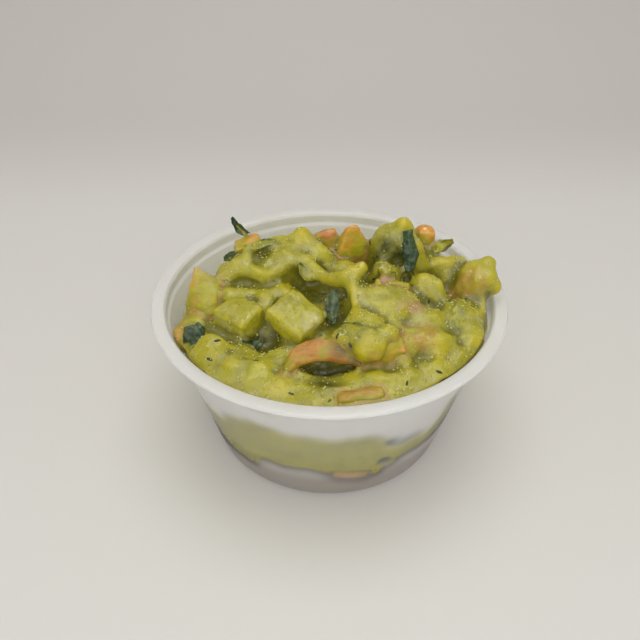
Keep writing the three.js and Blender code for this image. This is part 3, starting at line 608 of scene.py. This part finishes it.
def within(points, places):
    """1 at the listed places, falling smoothly to 0 at each one's reach."""
    found = np.zeros(len(points))
    for place, reach in places:
        away = np.linalg.norm(points - np.array(place), axis=1)
        found = np.maximum(found, eased(np.clip(1 - away / reach, 0, 1)))
    return found


def from_axis(points):
    """How far each point is from the cup's axis."""
    return np.hypot(points[:, 0], points[:, 1])


def put_at_radius(points, chosen, radius):
    """The points, with the chosen ones moved level to that distance from the cup's axis."""
    scale = np.where(chosen, radius / np.maximum(from_axis(points), 1), 1)
    return points * np.stack([scale, scale, np.ones(len(scale))], 1)


def pressed_to_wall(points, grip):
    """The points, with what lies within the grip of the cup's wall moved just into it."""
    wall = inner_wall(points[:, 2])
    pressed = (points[:, 2] < WALL_END) & (from_axis(points) > wall - grip)
    return put_at_radius(points, pressed, wall + WALL_BITE)


def ride(made, material, slot, *nodes):
    """Gives a finished piece its material and body, and hides the nodes that it stands for. Its slot is
    not used.
    """
    made.data.materials.clear()
    made.data.materials.append(material)
    shade_smooth(made.data)
    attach(made, BODY)
    if nodes:
        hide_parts(*nodes)
    return made


# ------------------------------------------------------------------ the mash

# The film of mash on each piece: how thick on its top, how much more low down, and how much
# of its colour smears over what stays bare.
FILM = {
    "tomato_top_left": (-0.45, 0.6, 0.4), "tomato_back": (-0.5, 0.8, 0.3),
    "tomato_back_skin": (-0.5, 0.4, 0.2), "tomato_back_right": (-0.5, 0.5, 0.3),
    "tomato_left": (-0.3, 0.4, 0.6), "tomato_front": (-0.5, 0.2, 0.25),
    "tomato_front_right": (-0.4, 0.3, 0.3), "tomato_right": (0.25, 0.1, 0.4),
    "tomato_left_edge": (-0.3, 0.3, 0.2), "tomato_front_lip": (-0.4, 0.3, 0.3),
    "tomato_middle": (0.25, 0.3, 0.5), "tomato_low": (-0.4, 0.2, 0.7),
    "onion_left": (-0.4, 0.6, 1.2), "onion_middle": (-0.4, 0.6, 1.0),
    "onion_red_upper": (-0.05, 0.3, 0.5), "onion_red_lower": (-0.05, 0.3, 0.5),
    "leaf_sprig": (-0.5, 0.1, 0.0), "leaf_back_left": (-0.3, 0.3, 0.2),
    "leaf_crest": (0.05, 0.3, 0.4), "leaf_dark": (-0.3, 0.3, 0.0),
    "leaf_curl": (-0.2, 0.3, 0.9), "leaf_left": (-0.4, 0.3, 0.1),
    "leaf_under_ridge": (0.1, 0.3, 0.4), "leaf_hollow": (-0.2, 0.2, 0.2),
    "leaf_green": (0.15, 0.3, 0.6), "leaf_right": (0.25, 0.2, 0.5),
    "leaf_pocket": (-0.2, 0.2, 0.1), "leaf_front": (0.15, 0.3, 0.4),
    "leaf_wall_streak": (-0.2, 0.2, 0.0), "leaf_wall_low": (-0.2, 0.2, 0.0),
}

# The film is thicker and thinner in patches of that size, by that much.
FILM_PATCH = 2.6
FILM_PATCH_DEPTH = 0.35

# Pieces that show through the wall: how near them the mash stands back, and how far.
WALL_PIECES = ("leaf_wall_streak", "leaf_wall_low", "tomato_low")
WALL_PIECE_ROOM = 0.9
WALL_PIECE_DEPTH = 1.4

# The relief of the mash: broad swells, and humps that meet in creases at their lowest level.
SWELL_SIZE = 4.6
HUMP_SIZE = 3.0
RELIEF_HEIGHT = 0.26
HUMP_LEVEL = 0.25

# Clearances: round the seat for a lid, and over the cup's floor.
SEAT_CLEARANCE = 0.3
FLOOR_CLEARANCE = 0.02

# A crest is what stands over the skin once that is relaxed so often, and takes painted highlight; a
# fold sinks under it and takes painted shade. One that stands so high is painted in full.
FINE_PASSES, FINE_CREST = 8, 0.3
BROAD_PASSES, BROAD_CREST = 60, 1.0

# The colour of each kind of piece tints the mash that is nearer than this.
TINTS = (("near_tomato", TOMATOES, 1.3), ("near_onion", ONIONS, 1.0),
         ("near_red_onion", RED_ONIONS, 1.2), ("near_leaf", LEAVES, 1.0))

# How far a leaf lies proud of the heap.
LEAF_LIFT = {
    "leaf_left": 0.5, "leaf_dark": 0.5, "leaf_back_left": 0.3, "leaf_curl": 0.3,
    "leaf_pocket": 0.4, "leaf_hollow": 0.3,
}

# Where the mash is of a clearer yellow, and where painted shade darkens it to olive in hollows and
# under what hangs over it, and how far that reaches.
PLACES = {
    "yellow": (
        ((4.6, -5.0, 44.2), 2.6), ((6.9, -23.1, 39.2), 2.8), ((20.8, -20.5, 35.9), 3.8),
        ((-9.1, -29.5, 33.9), 4.0), ((29.2, -1.0, 41.0), 3.4), ((-6.1, 5.6, 44.8), 3.6),
        ((4.8, -9.4, 41.4), 1.8), ((4.9, -12.2, 40.8), 1.8), ((5.4, -14.6, 41.0), 2.2),
        ((28.8, -16.8, 34.7), 2.4), ((24.6, 4.0, 41.2), 3.4), ((15.6, 5.8, 48.6), 2.2)),
    # The olive places are painted shade: hollows, pockets and faces turned from the light.
    "olive": (
        ((11.6, 2.6, 44.6), 5.0), ((9.6, 3.0, 42.0), 4.2), ((14.2, 2.2, 43.0), 4.2),
        ((-13.8, -10.6, 32.6), 4.6), ((-10.8, -12.2, 32.8), 4.6), ((-14.4, -14.0, 32.6), 3.6),
        ((-0.8, -21.4, 31.4), 6.4),
        ((0.4, -10.8, 37.6), 5.4), ((1.0, -15.6, 38.4), 3.4), ((-2.8, -4.6, 37.0), 3.8),
        ((3.6, -22.6, 37.8), 2.4), ((3.0, -24.6, 36.8), 3.0), ((9.0, -0.6, 41.2), 2.6),
        ((-1.0, -27.4, 32.8), 4.4)),
}


def coated(node, top, low, seed):
    """A copy of a piece, swollen by its film of mash, which is patchy."""
    bm = welded(node, 1 if node in LEAVES else 3)
    heights = [v.co.z / MM for v in bm.verts]
    bottom, height = min(heights), max(heights) - min(heights)
    for v in bm.verts:
        depth = 1 - (v.co.z / MM - bottom) / height
        patch = noise.noise(v.co / (FILM_PATCH * MM) + Vector((seed, 0, 0)))
        v.co += v.normal * (top + low * depth + FILM_PATCH_DEPTH * patch) * MM
    return bm


def mash_skin():
    """One closed skin over the heap and its coated pieces, with narrow gaps filled."""
    heap = welded("guacamole")
    for v in heap.verts:
        v.co += v.normal * SOCKET_FILL * MM
    parts = [heap]
    for seed, (node, (top, low, _)) in enumerate(FILM.items()):
        if node not in WALL_PIECES:
            parts.append(coated(node, top, low, seed))
    made = remeshed(joined(parts, "mash"), MASH_VOXEL)
    # A closing: what is narrower than the reach is filled, as wet mash fills it.
    shift_out(made.data, CLOSING_REACH)
    made = remeshed(made, MASH_VOXEL)
    mesh = made.data
    edges = edges_of(mesh)
    set_points(mesh, relaxed(points_of(mesh), edges, CLOSING_PASSES))
    shift_out(mesh, -CLOSING_REACH - DRAWN_IN)
    set_points(mesh, relaxed(points_of(mesh), edges, 1))
    return made


def shape_mash(mesh):
    """Gives the skin its relief, and fits it into the cup."""
    points = points_of(mesh)
    swells = rough(points, SWELL_SIZE, 1, 1)
    humps = np.abs(rough(points, HUMP_SIZE, 2, 1)) - HUMP_LEVEL
    points = points + normals_of(mesh) * (RELIEF_HEIGHT * (swells + humps))[:, None]
    points = pressed_to_wall(points, MASH_GRIP)
    # It makes way for the pieces that lie against the wall.
    hidden = nearness_to_nodes(points, WALL_PIECES, WALL_PIECE_ROOM) > 0
    points = put_at_radius(points, hidden, from_axis(points) - WALL_PIECE_DEPTH)
    heights = points[:, 2]
    at_seat = (heights >= WALL_END) & (heights < CUP_HEIGHT + SEAT_CLEARANCE)
    farthest = SEAT_RADIUS - SEAT_CLEARANCE
    points = put_at_radius(points, at_seat & (from_axis(points) > farthest), farthest)
    points[:, 2] = np.maximum(points[:, 2], FLOOR_TOP + FLOOR_CLEARANCE)
    set_points(mesh, points)


def paint_mash(mesh):
    """Paints where the mash stands up or folds, what tints it, its clearer yellow places and its places
    of painted shade.
    """
    points = points_of(mesh)
    normals = normals_of(mesh)
    edges = edges_of(mesh)
    fine = ((points - relaxed(points, edges, FINE_PASSES)) * normals).sum(1)
    broad = ((points - relaxed(points, edges, BROAD_PASSES)) * normals).sum(1)
    paint(mesh, "crest", np.clip(fine / FINE_CREST + broad / BROAD_CREST, -1, 1))
    for name, nodes, reach in TINTS:
        paint(mesh, name, eased(nearness_to_nodes(points, nodes, reach)))
    for name, places in PLACES.items():
        paint(mesh, name, within(points, places))


def make_mash():
    """The mash, which stands for the heap."""
    made = mash_skin()
    shape_mash(made.data)
    paint_mash(made.data)
    made.name = "mashed_avocado"
    return ride(made, mash_finish(), "guacamole", "guacamole")


# ------------------------------------------------------------------ the pieces in the mash


# Where a tomato lies in the shade of the mash that hangs over it.
SHADED = (((2.4, -22.6, 38.2), 3.8), ((5.0, -24.0, 36.6), 4.0), ((5.8, -22.6, 37.4), 3.4))

# Where an onion die's own pale flesh shows through its film.
GLASSY = (
    ((-4.2, -16.4, 38.6), 2.6), ((-3.0, -15.0, 38.8), 2.4),
    ((-22.6, -11.6, 36.4), 1.6), ((-21.0, -13.0, 36.0), 1.7), ((-19.2, -14.4, 35.6), 1.7),
)

# The torn surface of a die: the size of its swells and of its grain, and how deep it is.
TEAR_SIZE = 3.4
GRAIN_SIZE = 0.9
GRAIN_SHARE = 0.4
TOMATO_RELIEF = 0.2
ONION_RELIEF = 0.34
RED_ONION_RELIEF = 0.06

# How often the edges of a die are softened.
CUT_PASSES = 3
ONION_PASSES = 30

# How far a leaf's points stray, in crumples of that size.
LEAF_STRAY = 0.22
CRUMPLE_SIZE = 1.1

# An edge is what stands over the die once it is relaxed so often. One that stands so high is
# painted in full.
EDGE_PASSES = 14
FULL_EDGE = 0.2

# The first seed of each kind of piece.
ONION_SEED = 20
RED_ONION_SEED = 30
LEAF_SEED = 50


def diced(node, relief, seed, passes=CUT_PASSES):
    """A piece with softened edges and a torn, uneven surface."""
    made = remeshed(object_from(welded(node, 1), "chunk_" + node), PIECE_VOXEL)
    mesh = made.data
    points = relaxed(points_of(mesh), edges_of(mesh), passes)
    set_points(mesh, points)
    swells = rough(points, TEAR_SIZE, seed)
    grain = GRAIN_SHARE * rough(points, GRAIN_SIZE, seed + 5)
    lift = relief * (swells + grain)
    set_points(mesh, points + normals_of(mesh) * lift[:, None])
    return made


def torn_leaf(node, seed):
    """A leaf scrap: thin, crumpled, with a ragged edge."""
    made = object_from(welded(node, 3), "scrap_" + node)
    mesh = made.data
    points = relaxed(points_of(mesh), edges_of(mesh), 1, 0.3)
    shake = np.stack([rough(points, CRUMPLE_SIZE, seed + k) for k in range(3)], 1)
    outwards = points.mean(0) - np.array(HEAP_MIDDLE)
    outwards *= LEAF_LIFT.get(node, 0) / np.linalg.norm(outwards)
    set_points(mesh, points + LEAF_STRAY * shake + outwards)
    return made


def dress(made, mash_tree, material, slot, node):
    """Paints a piece for its material, and lets it ride in the place of its node."""
    mesh = made.data
    reach = LEAF_FILM_REACH if slot == "leaf" else FILM_REACH
    smear = FILM[node][2]
    points = points_of(mesh)
    paint(mesh, "film", nearness(points, mash_tree, reach))
    paint(mesh, "smear", np.full(len(points), smear))
    if node in WALL_PIECES:
        points = pressed_to_wall(points, PIECE_GRIP)
        set_points(mesh, points)
    if slot in ("onion", "red_onion"):
        swell = points - relaxed(points, edges_of(mesh), EDGE_PASSES)
        height = (swell * normals_of(mesh)).sum(1)
        paint(mesh, "edge", np.clip(height / FULL_EDGE, 0, 1))
        paint(mesh, "glassy", within(points, GLASSY))
    if slot == "tomato":
        paint(mesh, "shade", within(points, SHADED))
    ride(made, material, slot, node)


def make_pieces(mash):
    """Every die and leaf, each in the place of its node."""
    mash_tree = tree_over(mash.data)
    flesh = tomato_finish("tomato_flesh", TOMATO, TOMATO_DEEP)
    skin = tomato_finish("tomato_skin", TOMATO_BROWN, TOMATO_BROWN_DEEP)
    red_skin = tomato_finish("tomato_red_skin", TOMATO_RED, TOMATO_RED_DEEP)
    onion = onion_finish("onion_flesh", ONION, ONION_PALE)
    red_onion = onion_finish("red_onion_flesh", RED_ONION, RED_ONION_DEEP)
    leaf = leaf_finish("chopped_leaf")
    skins = {"tomato_front": skin, "tomato_front_lip": skin, "tomato_low": red_skin,
             "tomato_back_skin": red_skin}

    for seed, node in enumerate(TOMATOES):
        made = diced(node, TOMATO_RELIEF, seed)
        dress(made, mash_tree, skins.get(node, flesh), "tomato", node)
    for seed, node in enumerate(ONIONS):
        made = diced(node, ONION_RELIEF, ONION_SEED + seed, ONION_PASSES)
        dress(made, mash_tree, onion, "onion", node)
    for seed, node in enumerate(RED_ONIONS):
        made = diced(node, RED_ONION_RELIEF, RED_ONION_SEED + seed)
        dress(made, mash_tree, red_onion, "red_onion", node)
    for seed, node in enumerate(LEAVES):
        dress(torn_leaf(node, LEAF_SEED + seed), mash_tree, leaf, "leaf", node)


# ------------------------------------------------------------------ bubbles and flecks


# The grains: the node that makes one, its squash, how many lie on a square metre, and the
# radius of the smallest and the largest.
BUBBLE = {
    "shape": ("GeometryNodeMeshUVSphere", {"Segments": 6, "Rings": 4, "Radius": 1.0}),
    "squash": (1.0, 1.0, 0.8), "density": 1.6 / MM ** 2,
    "smallest": 0.07 * MM, "largest": 0.22 * MM, "seed": 3,
}
FLECK = {
    "shape": ("GeometryNodeMeshIcoSphere", {"Radius": 1.0, "Subdivisions": 1}),
    "squash": (1.0, 0.4, 0.16), "density": 0.035 / MM ** 2,
    "smallest": 0.15 * MM, "largest": 0.8 * MM, "seed": 8,
}

# Froth gathers in fields about that size. Between them is the least share of it, and the
# contrast sets how sharply they end.
FROTH_FIELD = 5.0
FROTH_SEED = 9
FROTH_LEAST = 0.2
FROTH_MIDDLE = 0.3
FROTH_CONTRAST = 2.0

# Grains lie only where the skin faces up by more than that.
LEAST_UPWARDS = 0.15


def scatter_tree(name, shape, squash, material):
    """Nodes that strew grains over a surface, as many as its painted "showing" allows."""
    tree = bpy.data.node_groups.new(name, "GeometryNodeTree")
    interface = tree.interface
    interface.new_socket("Surface", in_out="INPUT", socket_type="NodeSocketGeometry")
    for size in ("Density", "Smallest", "Largest"):
        interface.new_socket(size, in_out="INPUT", socket_type="NodeSocketFloat")
    interface.new_socket("Seed", in_out="INPUT", socket_type="NodeSocketInt")
    interface.new_socket("Grains", in_out="OUTPUT", socket_type="NodeSocketGeometry")

    def node(kind, settings=None, links=None):
        """Any node: its settings first, then the values or links of its sockets."""
        made = tree.nodes.new(kind)
        for key, value in (settings or {}).items():
            setattr(made, key, value)
        for key, value in (links or {}).items():
            if isinstance(value, bpy.types.NodeSocket):
                tree.links.new(value, made.inputs[key])
            else:
                made.inputs[key].default_value = value
        return made

    given = node("NodeGroupInput").outputs
    showing = node("GeometryNodeInputNamedAttribute", {"data_type": "FLOAT"}, {"Name": "showing"})
    density = node("ShaderNodeMath", {"operation": "MULTIPLY"},
                   {0: given["Density"], 1: showing.outputs["Attribute"]})
    points = node("GeometryNodeDistributePointsOnFaces", None,
                  {"Mesh": given["Surface"], "Density": density.outputs[0], "Seed": given["Seed"]})
    size = node("FunctionNodeRandomValue", {"data_type": "FLOAT"},
                {2: given["Smallest"], 3: given["Largest"], "Seed": given["Seed"]})
    spin = node("FunctionNodeRandomValue", {"data_type": "FLOAT"},
                {2: 0.0, 3: 2 * math.pi, "Seed": given["Seed"]})
    turn = node("ShaderNodeCombineXYZ", None, {"Z": spin.outputs[1]})
    kind, sizes = shape
    grain = node(kind, None, sizes)
    flat = node("GeometryNodeTransform", None, {0: grain.outputs[0], "Scale": squash})
    placed = node("GeometryNodeInstanceOnPoints", None,
                  {"Points": points.outputs["Points"], "Instance": flat.outputs[0],
                   "Rotation": points.outputs["Rotation"], "Scale": size.outputs[1]})
    turned = node("GeometryNodeRotateInstances", None,
                  {"Instances": placed.outputs[0], "Rotation": turn.outputs[0]})
    real = node("GeometryNodeRealizeInstances", None, {"Geometry": turned.outputs[0]})
    dressed = node("GeometryNodeSetMaterial", None,
                   {"Geometry": real.outputs[0], "Material": material})
    node("NodeGroupOutput", None, {"Grains": dressed.outputs[0]})
    return tree


def strewn(mash, name, kind, material, slot):
    """The grains of one kind that lie on the mash, as one plain mesh."""
    tree = scatter_tree("strewn_" + name, kind["shape"], kind["squash"], material)
    made = bpy.data.objects.new(name, mash.data.copy())
    bpy.context.scene.collection.objects.link(made)
    modifier = made.modifiers.new("strewn", "NODES")
    modifier.node_group = tree
    for item in tree.interface.items_tree:
        value = kind.get(item.name.lower())
        if value is not None:
            modifier[item.identifier] = value
    ride(evaluated(made), material, slot)


def make_grains(mash):
    """Bubbles and flecks of leaf, where the mash lies open to the air."""
    points = points_of(mash.data)
    upwards = normals_of(mash.data)[:, 2]
    fields = FROTH_MIDDLE + FROTH_CONTRAST * rough(points, FROTH_FIELD, FROTH_SEED)
    froth = FROTH_LEAST + (1 - FROTH_LEAST) * np.clip(fields, 0, 1)
    open_to_view = (points[:, 2] > LEDGE_HEIGHT) * np.clip(upwards - LEAST_UPWARDS, 0, 1)
    paint(mash.data, "showing", open_to_view * froth)
    strewn(mash, "bubbles", BUBBLE, bubble_finish(), "guacamole")
    strewn(mash, "leaf_flecks", FLECK, leaf_finish("leaf_fleck"), "leaf")


# ------------------------------------------------------------------ the cup


# The wall's mesh: the longest step up its section, and the steps round it.
WALL_STEP = 0.8
WALL_SEGMENTS = 288

# A profile's point this near the axis is on it.
ON_AXIS = 1e-6

# How clear the wall is where it is bare, how much clearer where it is wetted, and at the most.
CLEAR_BARE = 0.3
CLEAR_WETTED = 0.56
CLEAREST = 0.9

# The front of the wall starts so far before the axis.
FRONT = -20

# Parts of the wall, as shares of the cup's height. Over the first, the painted shade round the foot
# fades out.
FOOT_SHADE_SPAN = (0.18, 0.42)
LOW_DOWN = (0.2, 0.6)
HIGH_UP = (0.6, 0.8)
RIM_SHARE = 0.95

# How much milkier the front is, how much more so high up, and how much clearer low down.
FRONT_MILKIER = 0.06
HIGH_UP_MILKIER = 0.06
LOW_DOWN_CLEARER = 0.08

# How far from the mash, and from a piece, the wall still looks wetted. What is as near as the
# contact lies on the inside of the wall.
WETTED_REACH = 1.3
WETTED_CONTACT = 0.45
WALL_PIECE_REACH = 2.4
WALL_PIECE_SHARE = 1.2
WETTED_POWER = 1.5
BLUR_PASSES = 7


def filleted(corners, steps=5):
    """Points along a profile of (radius, height, fillet) corners, each corner rounded."""
    points = []
    count = len(corners)
    for i, (r, z, fillet) in enumerate(corners):
        here = Vector((r, z))
        if not fillet or i in (0, count - 1):
            points.append(here)
            continue
        before = (Vector(corners[i - 1][:2]) - here).normalized()
        after = (Vector(corners[i + 1][:2]) - here).normalized()
        half = before.angle(after) / 2
        reach = fillet / math.tan(half)
        start, end = here + before * reach, here + after * reach
        for k in range(steps + 1):
            t = k / steps
            points.append((1 - t) ** 2 * start + 2 * t * (1 - t) * here + t * t * end)
    return points


def cut_up(points, longest):
    """The same profile with no step longer than that."""
    out = [points[0]]
    for a, b in zip(points, points[1:]):
        parts = max(1, math.ceil((b - a).length / longest))
        out.extend(a.lerp(b, k / parts) for k in range(1, parts + 1))
    return out


def lathed(points, segments, name):
    """A solid of revolution about Z. The profile starts and ends on the axis."""
    bm = bmesh.new()
    rings = []
    for p in points:
        if p.x < ON_AXIS:
            rings.append([bm.verts.new((0, 0, p.y * MM))])
            continue
        turns = [2 * math.pi * i / segments for i in range(segments)]
        rings.append([bm.verts.new((p.x * math.cos(a) * MM, p.x * math.sin(a) * MM, p.y * MM))
                      for a in turns])
    for low, high in zip(rings, rings[1:]):
        for i in range(segments):
            j = (i + 1) % segments
            corners = [low[i % len(low)], low[j % len(low)], high[j % len(high)], high[i % len(high)]]
            bm.faces.new(list(dict.fromkeys(corners)))
    bmesh.ops.recalc_face_normals(bm, faces=bm.faces)
    return object_from(bm, name)


def cup_profile():
    """The cup's section: under the foot, up the outside, over the rim and down the inside."""
    seat_outside = SEAT_RADIUS + WALL_THICKNESS
    under_ledge = LEDGE_HEIGHT - 0.9
    over_ledge = LEDGE_HEIGHT + 0.1
    flange_low = CUP_HEIGHT - FLANGE_DEPTH
    return [
        (0, FOOT_RECESS, 0), (FOOT_RADIUS - 0.7, FOOT_RECESS, 0.3), (FOOT_RADIUS, 0, 0.3),
        (outer_wall(0), 0, CORNER_RADIUS - 0.6),
        (outer_wall(under_ledge), under_ledge, 0.5),
        (seat_outside, over_ledge, 0.4), (seat_outside + 0.1, flange_low, 0.25),
        (RIM_RADIUS - 0.25, flange_low, 0.3), (RIM_RADIUS, CUP_HEIGHT - 0.5, 0.25),
        (RIM_RADIUS - 0.3, CUP_HEIGHT, 0.3), (LIP_RADIUS + 0.1, CUP_HEIGHT, 0.4),
        (SEAT_RADIUS, CUP_HEIGHT - 0.7, 0.4), (SEAT_RADIUS - 0.05, over_ledge, 0.4),
        (inner_wall(LEDGE_HEIGHT - 0.5), LEDGE_HEIGHT - 0.5, 0.4),
        (inner_wall(FLOOR_TOP), FLOOR_TOP, CORNER_RADIUS - 0.9),
        (0, FLOOR_TOP, 0),
    ]


def wetted_by(mash, mesh):
    """1 where mash or a piece is pressed against the wall, 0 where nothing is near it."""
    points = points_of(mesh)
    away = WETTED_REACH * (1 - nearness(points, tree_over(mash.data), WETTED_REACH))
    wetted = 1 - np.maximum(away - WETTED_CONTACT, 0) / (WETTED_REACH - WETTED_CONTACT)
    wetted[points[:, 2] > LEDGE_HEIGHT] = 0
    by_pieces = WALL_PIECE_SHARE * nearness_to_nodes(points, WALL_PIECES, WALL_PIECE_REACH)
    wetted = np.maximum(wetted, np.clip(by_pieces, 0, 1))
    # The milky wall blurs the edge of what is pressed against it.
    return relaxed(wetted[:, None], edges_of(mesh), BLUR_PASSES)[:, 0]


def paint_cup(mesh, mash):
    """Paints how clear the plastic is, from 0 as milk to 1 as glass, and where it is greyer low down,
    as painted shade.
    """
    points = points_of(mesh)
    heights = points[:, 2] / CUP_HEIGHT
    front = np.interp(points[:, 1], (FRONT, 0), (1, 0))
    low_down = np.interp(heights, LOW_DOWN, (1, 0))
    high_up = np.interp(heights, HIGH_UP, (0, 1))
    clear = CLEAR_BARE + CLEAR_WETTED * wetted_by(mash, mesh) ** WETTED_POWER
    clear += front * (LOW_DOWN_CLEARER * low_down - HIGH_UP_MILKIER * high_up - FRONT_MILKIER)
    clear = np.where(heights > RIM_SHARE, CLEAR_BARE, clear)
    paint(mesh, "clear", np.clip(clear, 0, CLEAREST))
    paint(mesh, "low", np.interp(heights, FOOT_SHADE_SPAN, (1, 0)))


def make_cup(mash):
    """The cup, clear where mash is pressed against it."""
    made = lathed(cut_up(filleted(cup_profile()), WALL_STEP), WALL_SEGMENTS, "cup_wall")
    paint_cup(made.data, mash)
    return ride(made, cup_finish(), "cup", "cup")


# ------------------------------------------------------------------ floor, light and camera


# The paper floor, in metres.
SWEEP_HALF_WIDTH = 0.9
SWEEP_FRONT = -0.8
SWEEP_BACK = 0.26
SWEEP_RADIUS = 0.15
SWEEP_TOP = 0.7
SWEEP_STEPS = 24

# Each large lamp: its place, what it faces and its size, in metres, and its watts.
LAMPS = {
    "top": ((0.0, 0.0, 0.45), (0, 0.01, 0), (0.3, 0.3), 0.5),
    "front": ((0.0, -0.36, 0.26), (0, 0, 0.03), (0.4, 0.25), 0.53),
}
LAMP_COLOUR = (1.0, 0.99, 0.965)
TENT_COLOUR = (1.0, 0.99, 0.97, 1.0)
TENT_STRENGTH = 0.48

# The small lamps that only draw glints on what is wet, in metres.
GLINT_PLACES = (
    (-0.16, -0.1, 0.4), (0.16, -0.1, 0.4), (0.0, -0.24, 0.36), (0.03, 0.16, 0.32),
    (-0.08, 0.02, 0.46), (0.1, 0.06, 0.42), (-0.2, 0.08, 0.3), (0.2, 0.02, 0.28),
)
GLINT_TARGET = (0, 0, 0.04)
GLINT_SIZE = (0.03, 0.03)
GLINT_WATTS = 0.1

# The camera, in millimetres.
CAMERA_PLACE = (-1.92, -122.36, 120.67)
CAMERA_TARGET = (-1.92, 0, 27.32)
SENSOR_WIDTH = 36
LENS = 39.375
NEAREST_SEEN = 5


def make_sweep():
    """A paper floor that rises in a wide curve behind the cup."""
    profile = [(SWEEP_FRONT, 0.0), (SWEEP_BACK - SWEEP_RADIUS, 0.0)]
    for k in range(1, SWEEP_STEPS + 1):
        a = math.pi / 2 * k / SWEEP_STEPS
        along = SWEEP_BACK - SWEEP_RADIUS + SWEEP_RADIUS * math.sin(a)
        profile.append((along, SWEEP_RADIUS - SWEEP_RADIUS * math.cos(a)))
    profile.append((SWEEP_BACK, SWEEP_TOP))
    bm = bmesh.new()
    left, right = [[bm.verts.new((x, y, z)) for y, z in profile]
                   for x in (-SWEEP_HALF_WIDTH, SWEEP_HALF_WIDTH)]
    for i in range(len(profile) - 1):
        bm.faces.new((left[i], right[i], right[i + 1], left[i + 1]))
    made = object_from(bm, "sweep")
    made.data.materials.append(sweep_finish())
    shade_smooth(made.data)


def area_light(name, place, target, size, watts, colour):
    """A rectangular lamp that faces its target."""
    light = bpy.data.lights.new(name, "AREA")
    light.shape = "RECTANGLE"
    light.size, light.size_y = size
    light.energy = watts
    light.color = colour
    made = bpy.data.objects.new(name, light)
    made.location = place
    made.rotation_euler = (Vector(target) - Vector(place)).to_track_quat("-Z", "Y").to_euler()
    bpy.context.scene.collection.objects.link(made)
    return made


def make_light():
    """A pale tent, two large lamps, and small ones for the glints."""
    world = bpy.data.worlds.new("tent")
    world.use_nodes = True
    background = world.node_tree.nodes["Background"]
    background.inputs["Color"].default_value = TENT_COLOUR
    background.inputs["Strength"].default_value = TENT_STRENGTH
    bpy.context.scene.world = world
    for name, (place, target, size, watts) in LAMPS.items():
        area_light(name, place, target, size, watts, LAMP_COLOUR)
    for place in GLINT_PLACES:
        glint = area_light("glint", place, GLINT_TARGET, GLINT_SIZE, GLINT_WATTS, (1, 1, 1))
        glint.visible_diffuse = False


def make_camera():
    """The view: 37 degrees down on the cup from in front of it."""
    data = bpy.data.cameras.new("camera")
    data.sensor_width = SENSOR_WIDTH
    data.lens = LENS
    data.clip_start = NEAREST_SEEN * MM
    made = bpy.data.objects.new("camera", data)
    made.location = Vector(CAMERA_PLACE) * MM
    target = Vector(CAMERA_TARGET) * MM
    made.rotation_euler = (target - made.location).to_track_quat("-Z", "Y").to_euler()
    bpy.context.scene.collection.objects.link(made)
    bpy.context.scene.camera = made
    bpy.context.scene.view_settings.view_transform = "Standard"


# ------------------------------------------------------------------ put together

make_camera()
make_light()
make_sweep()
mash = make_mash()
make_pieces(mash)
make_grains(mash)
make_cup(mash)
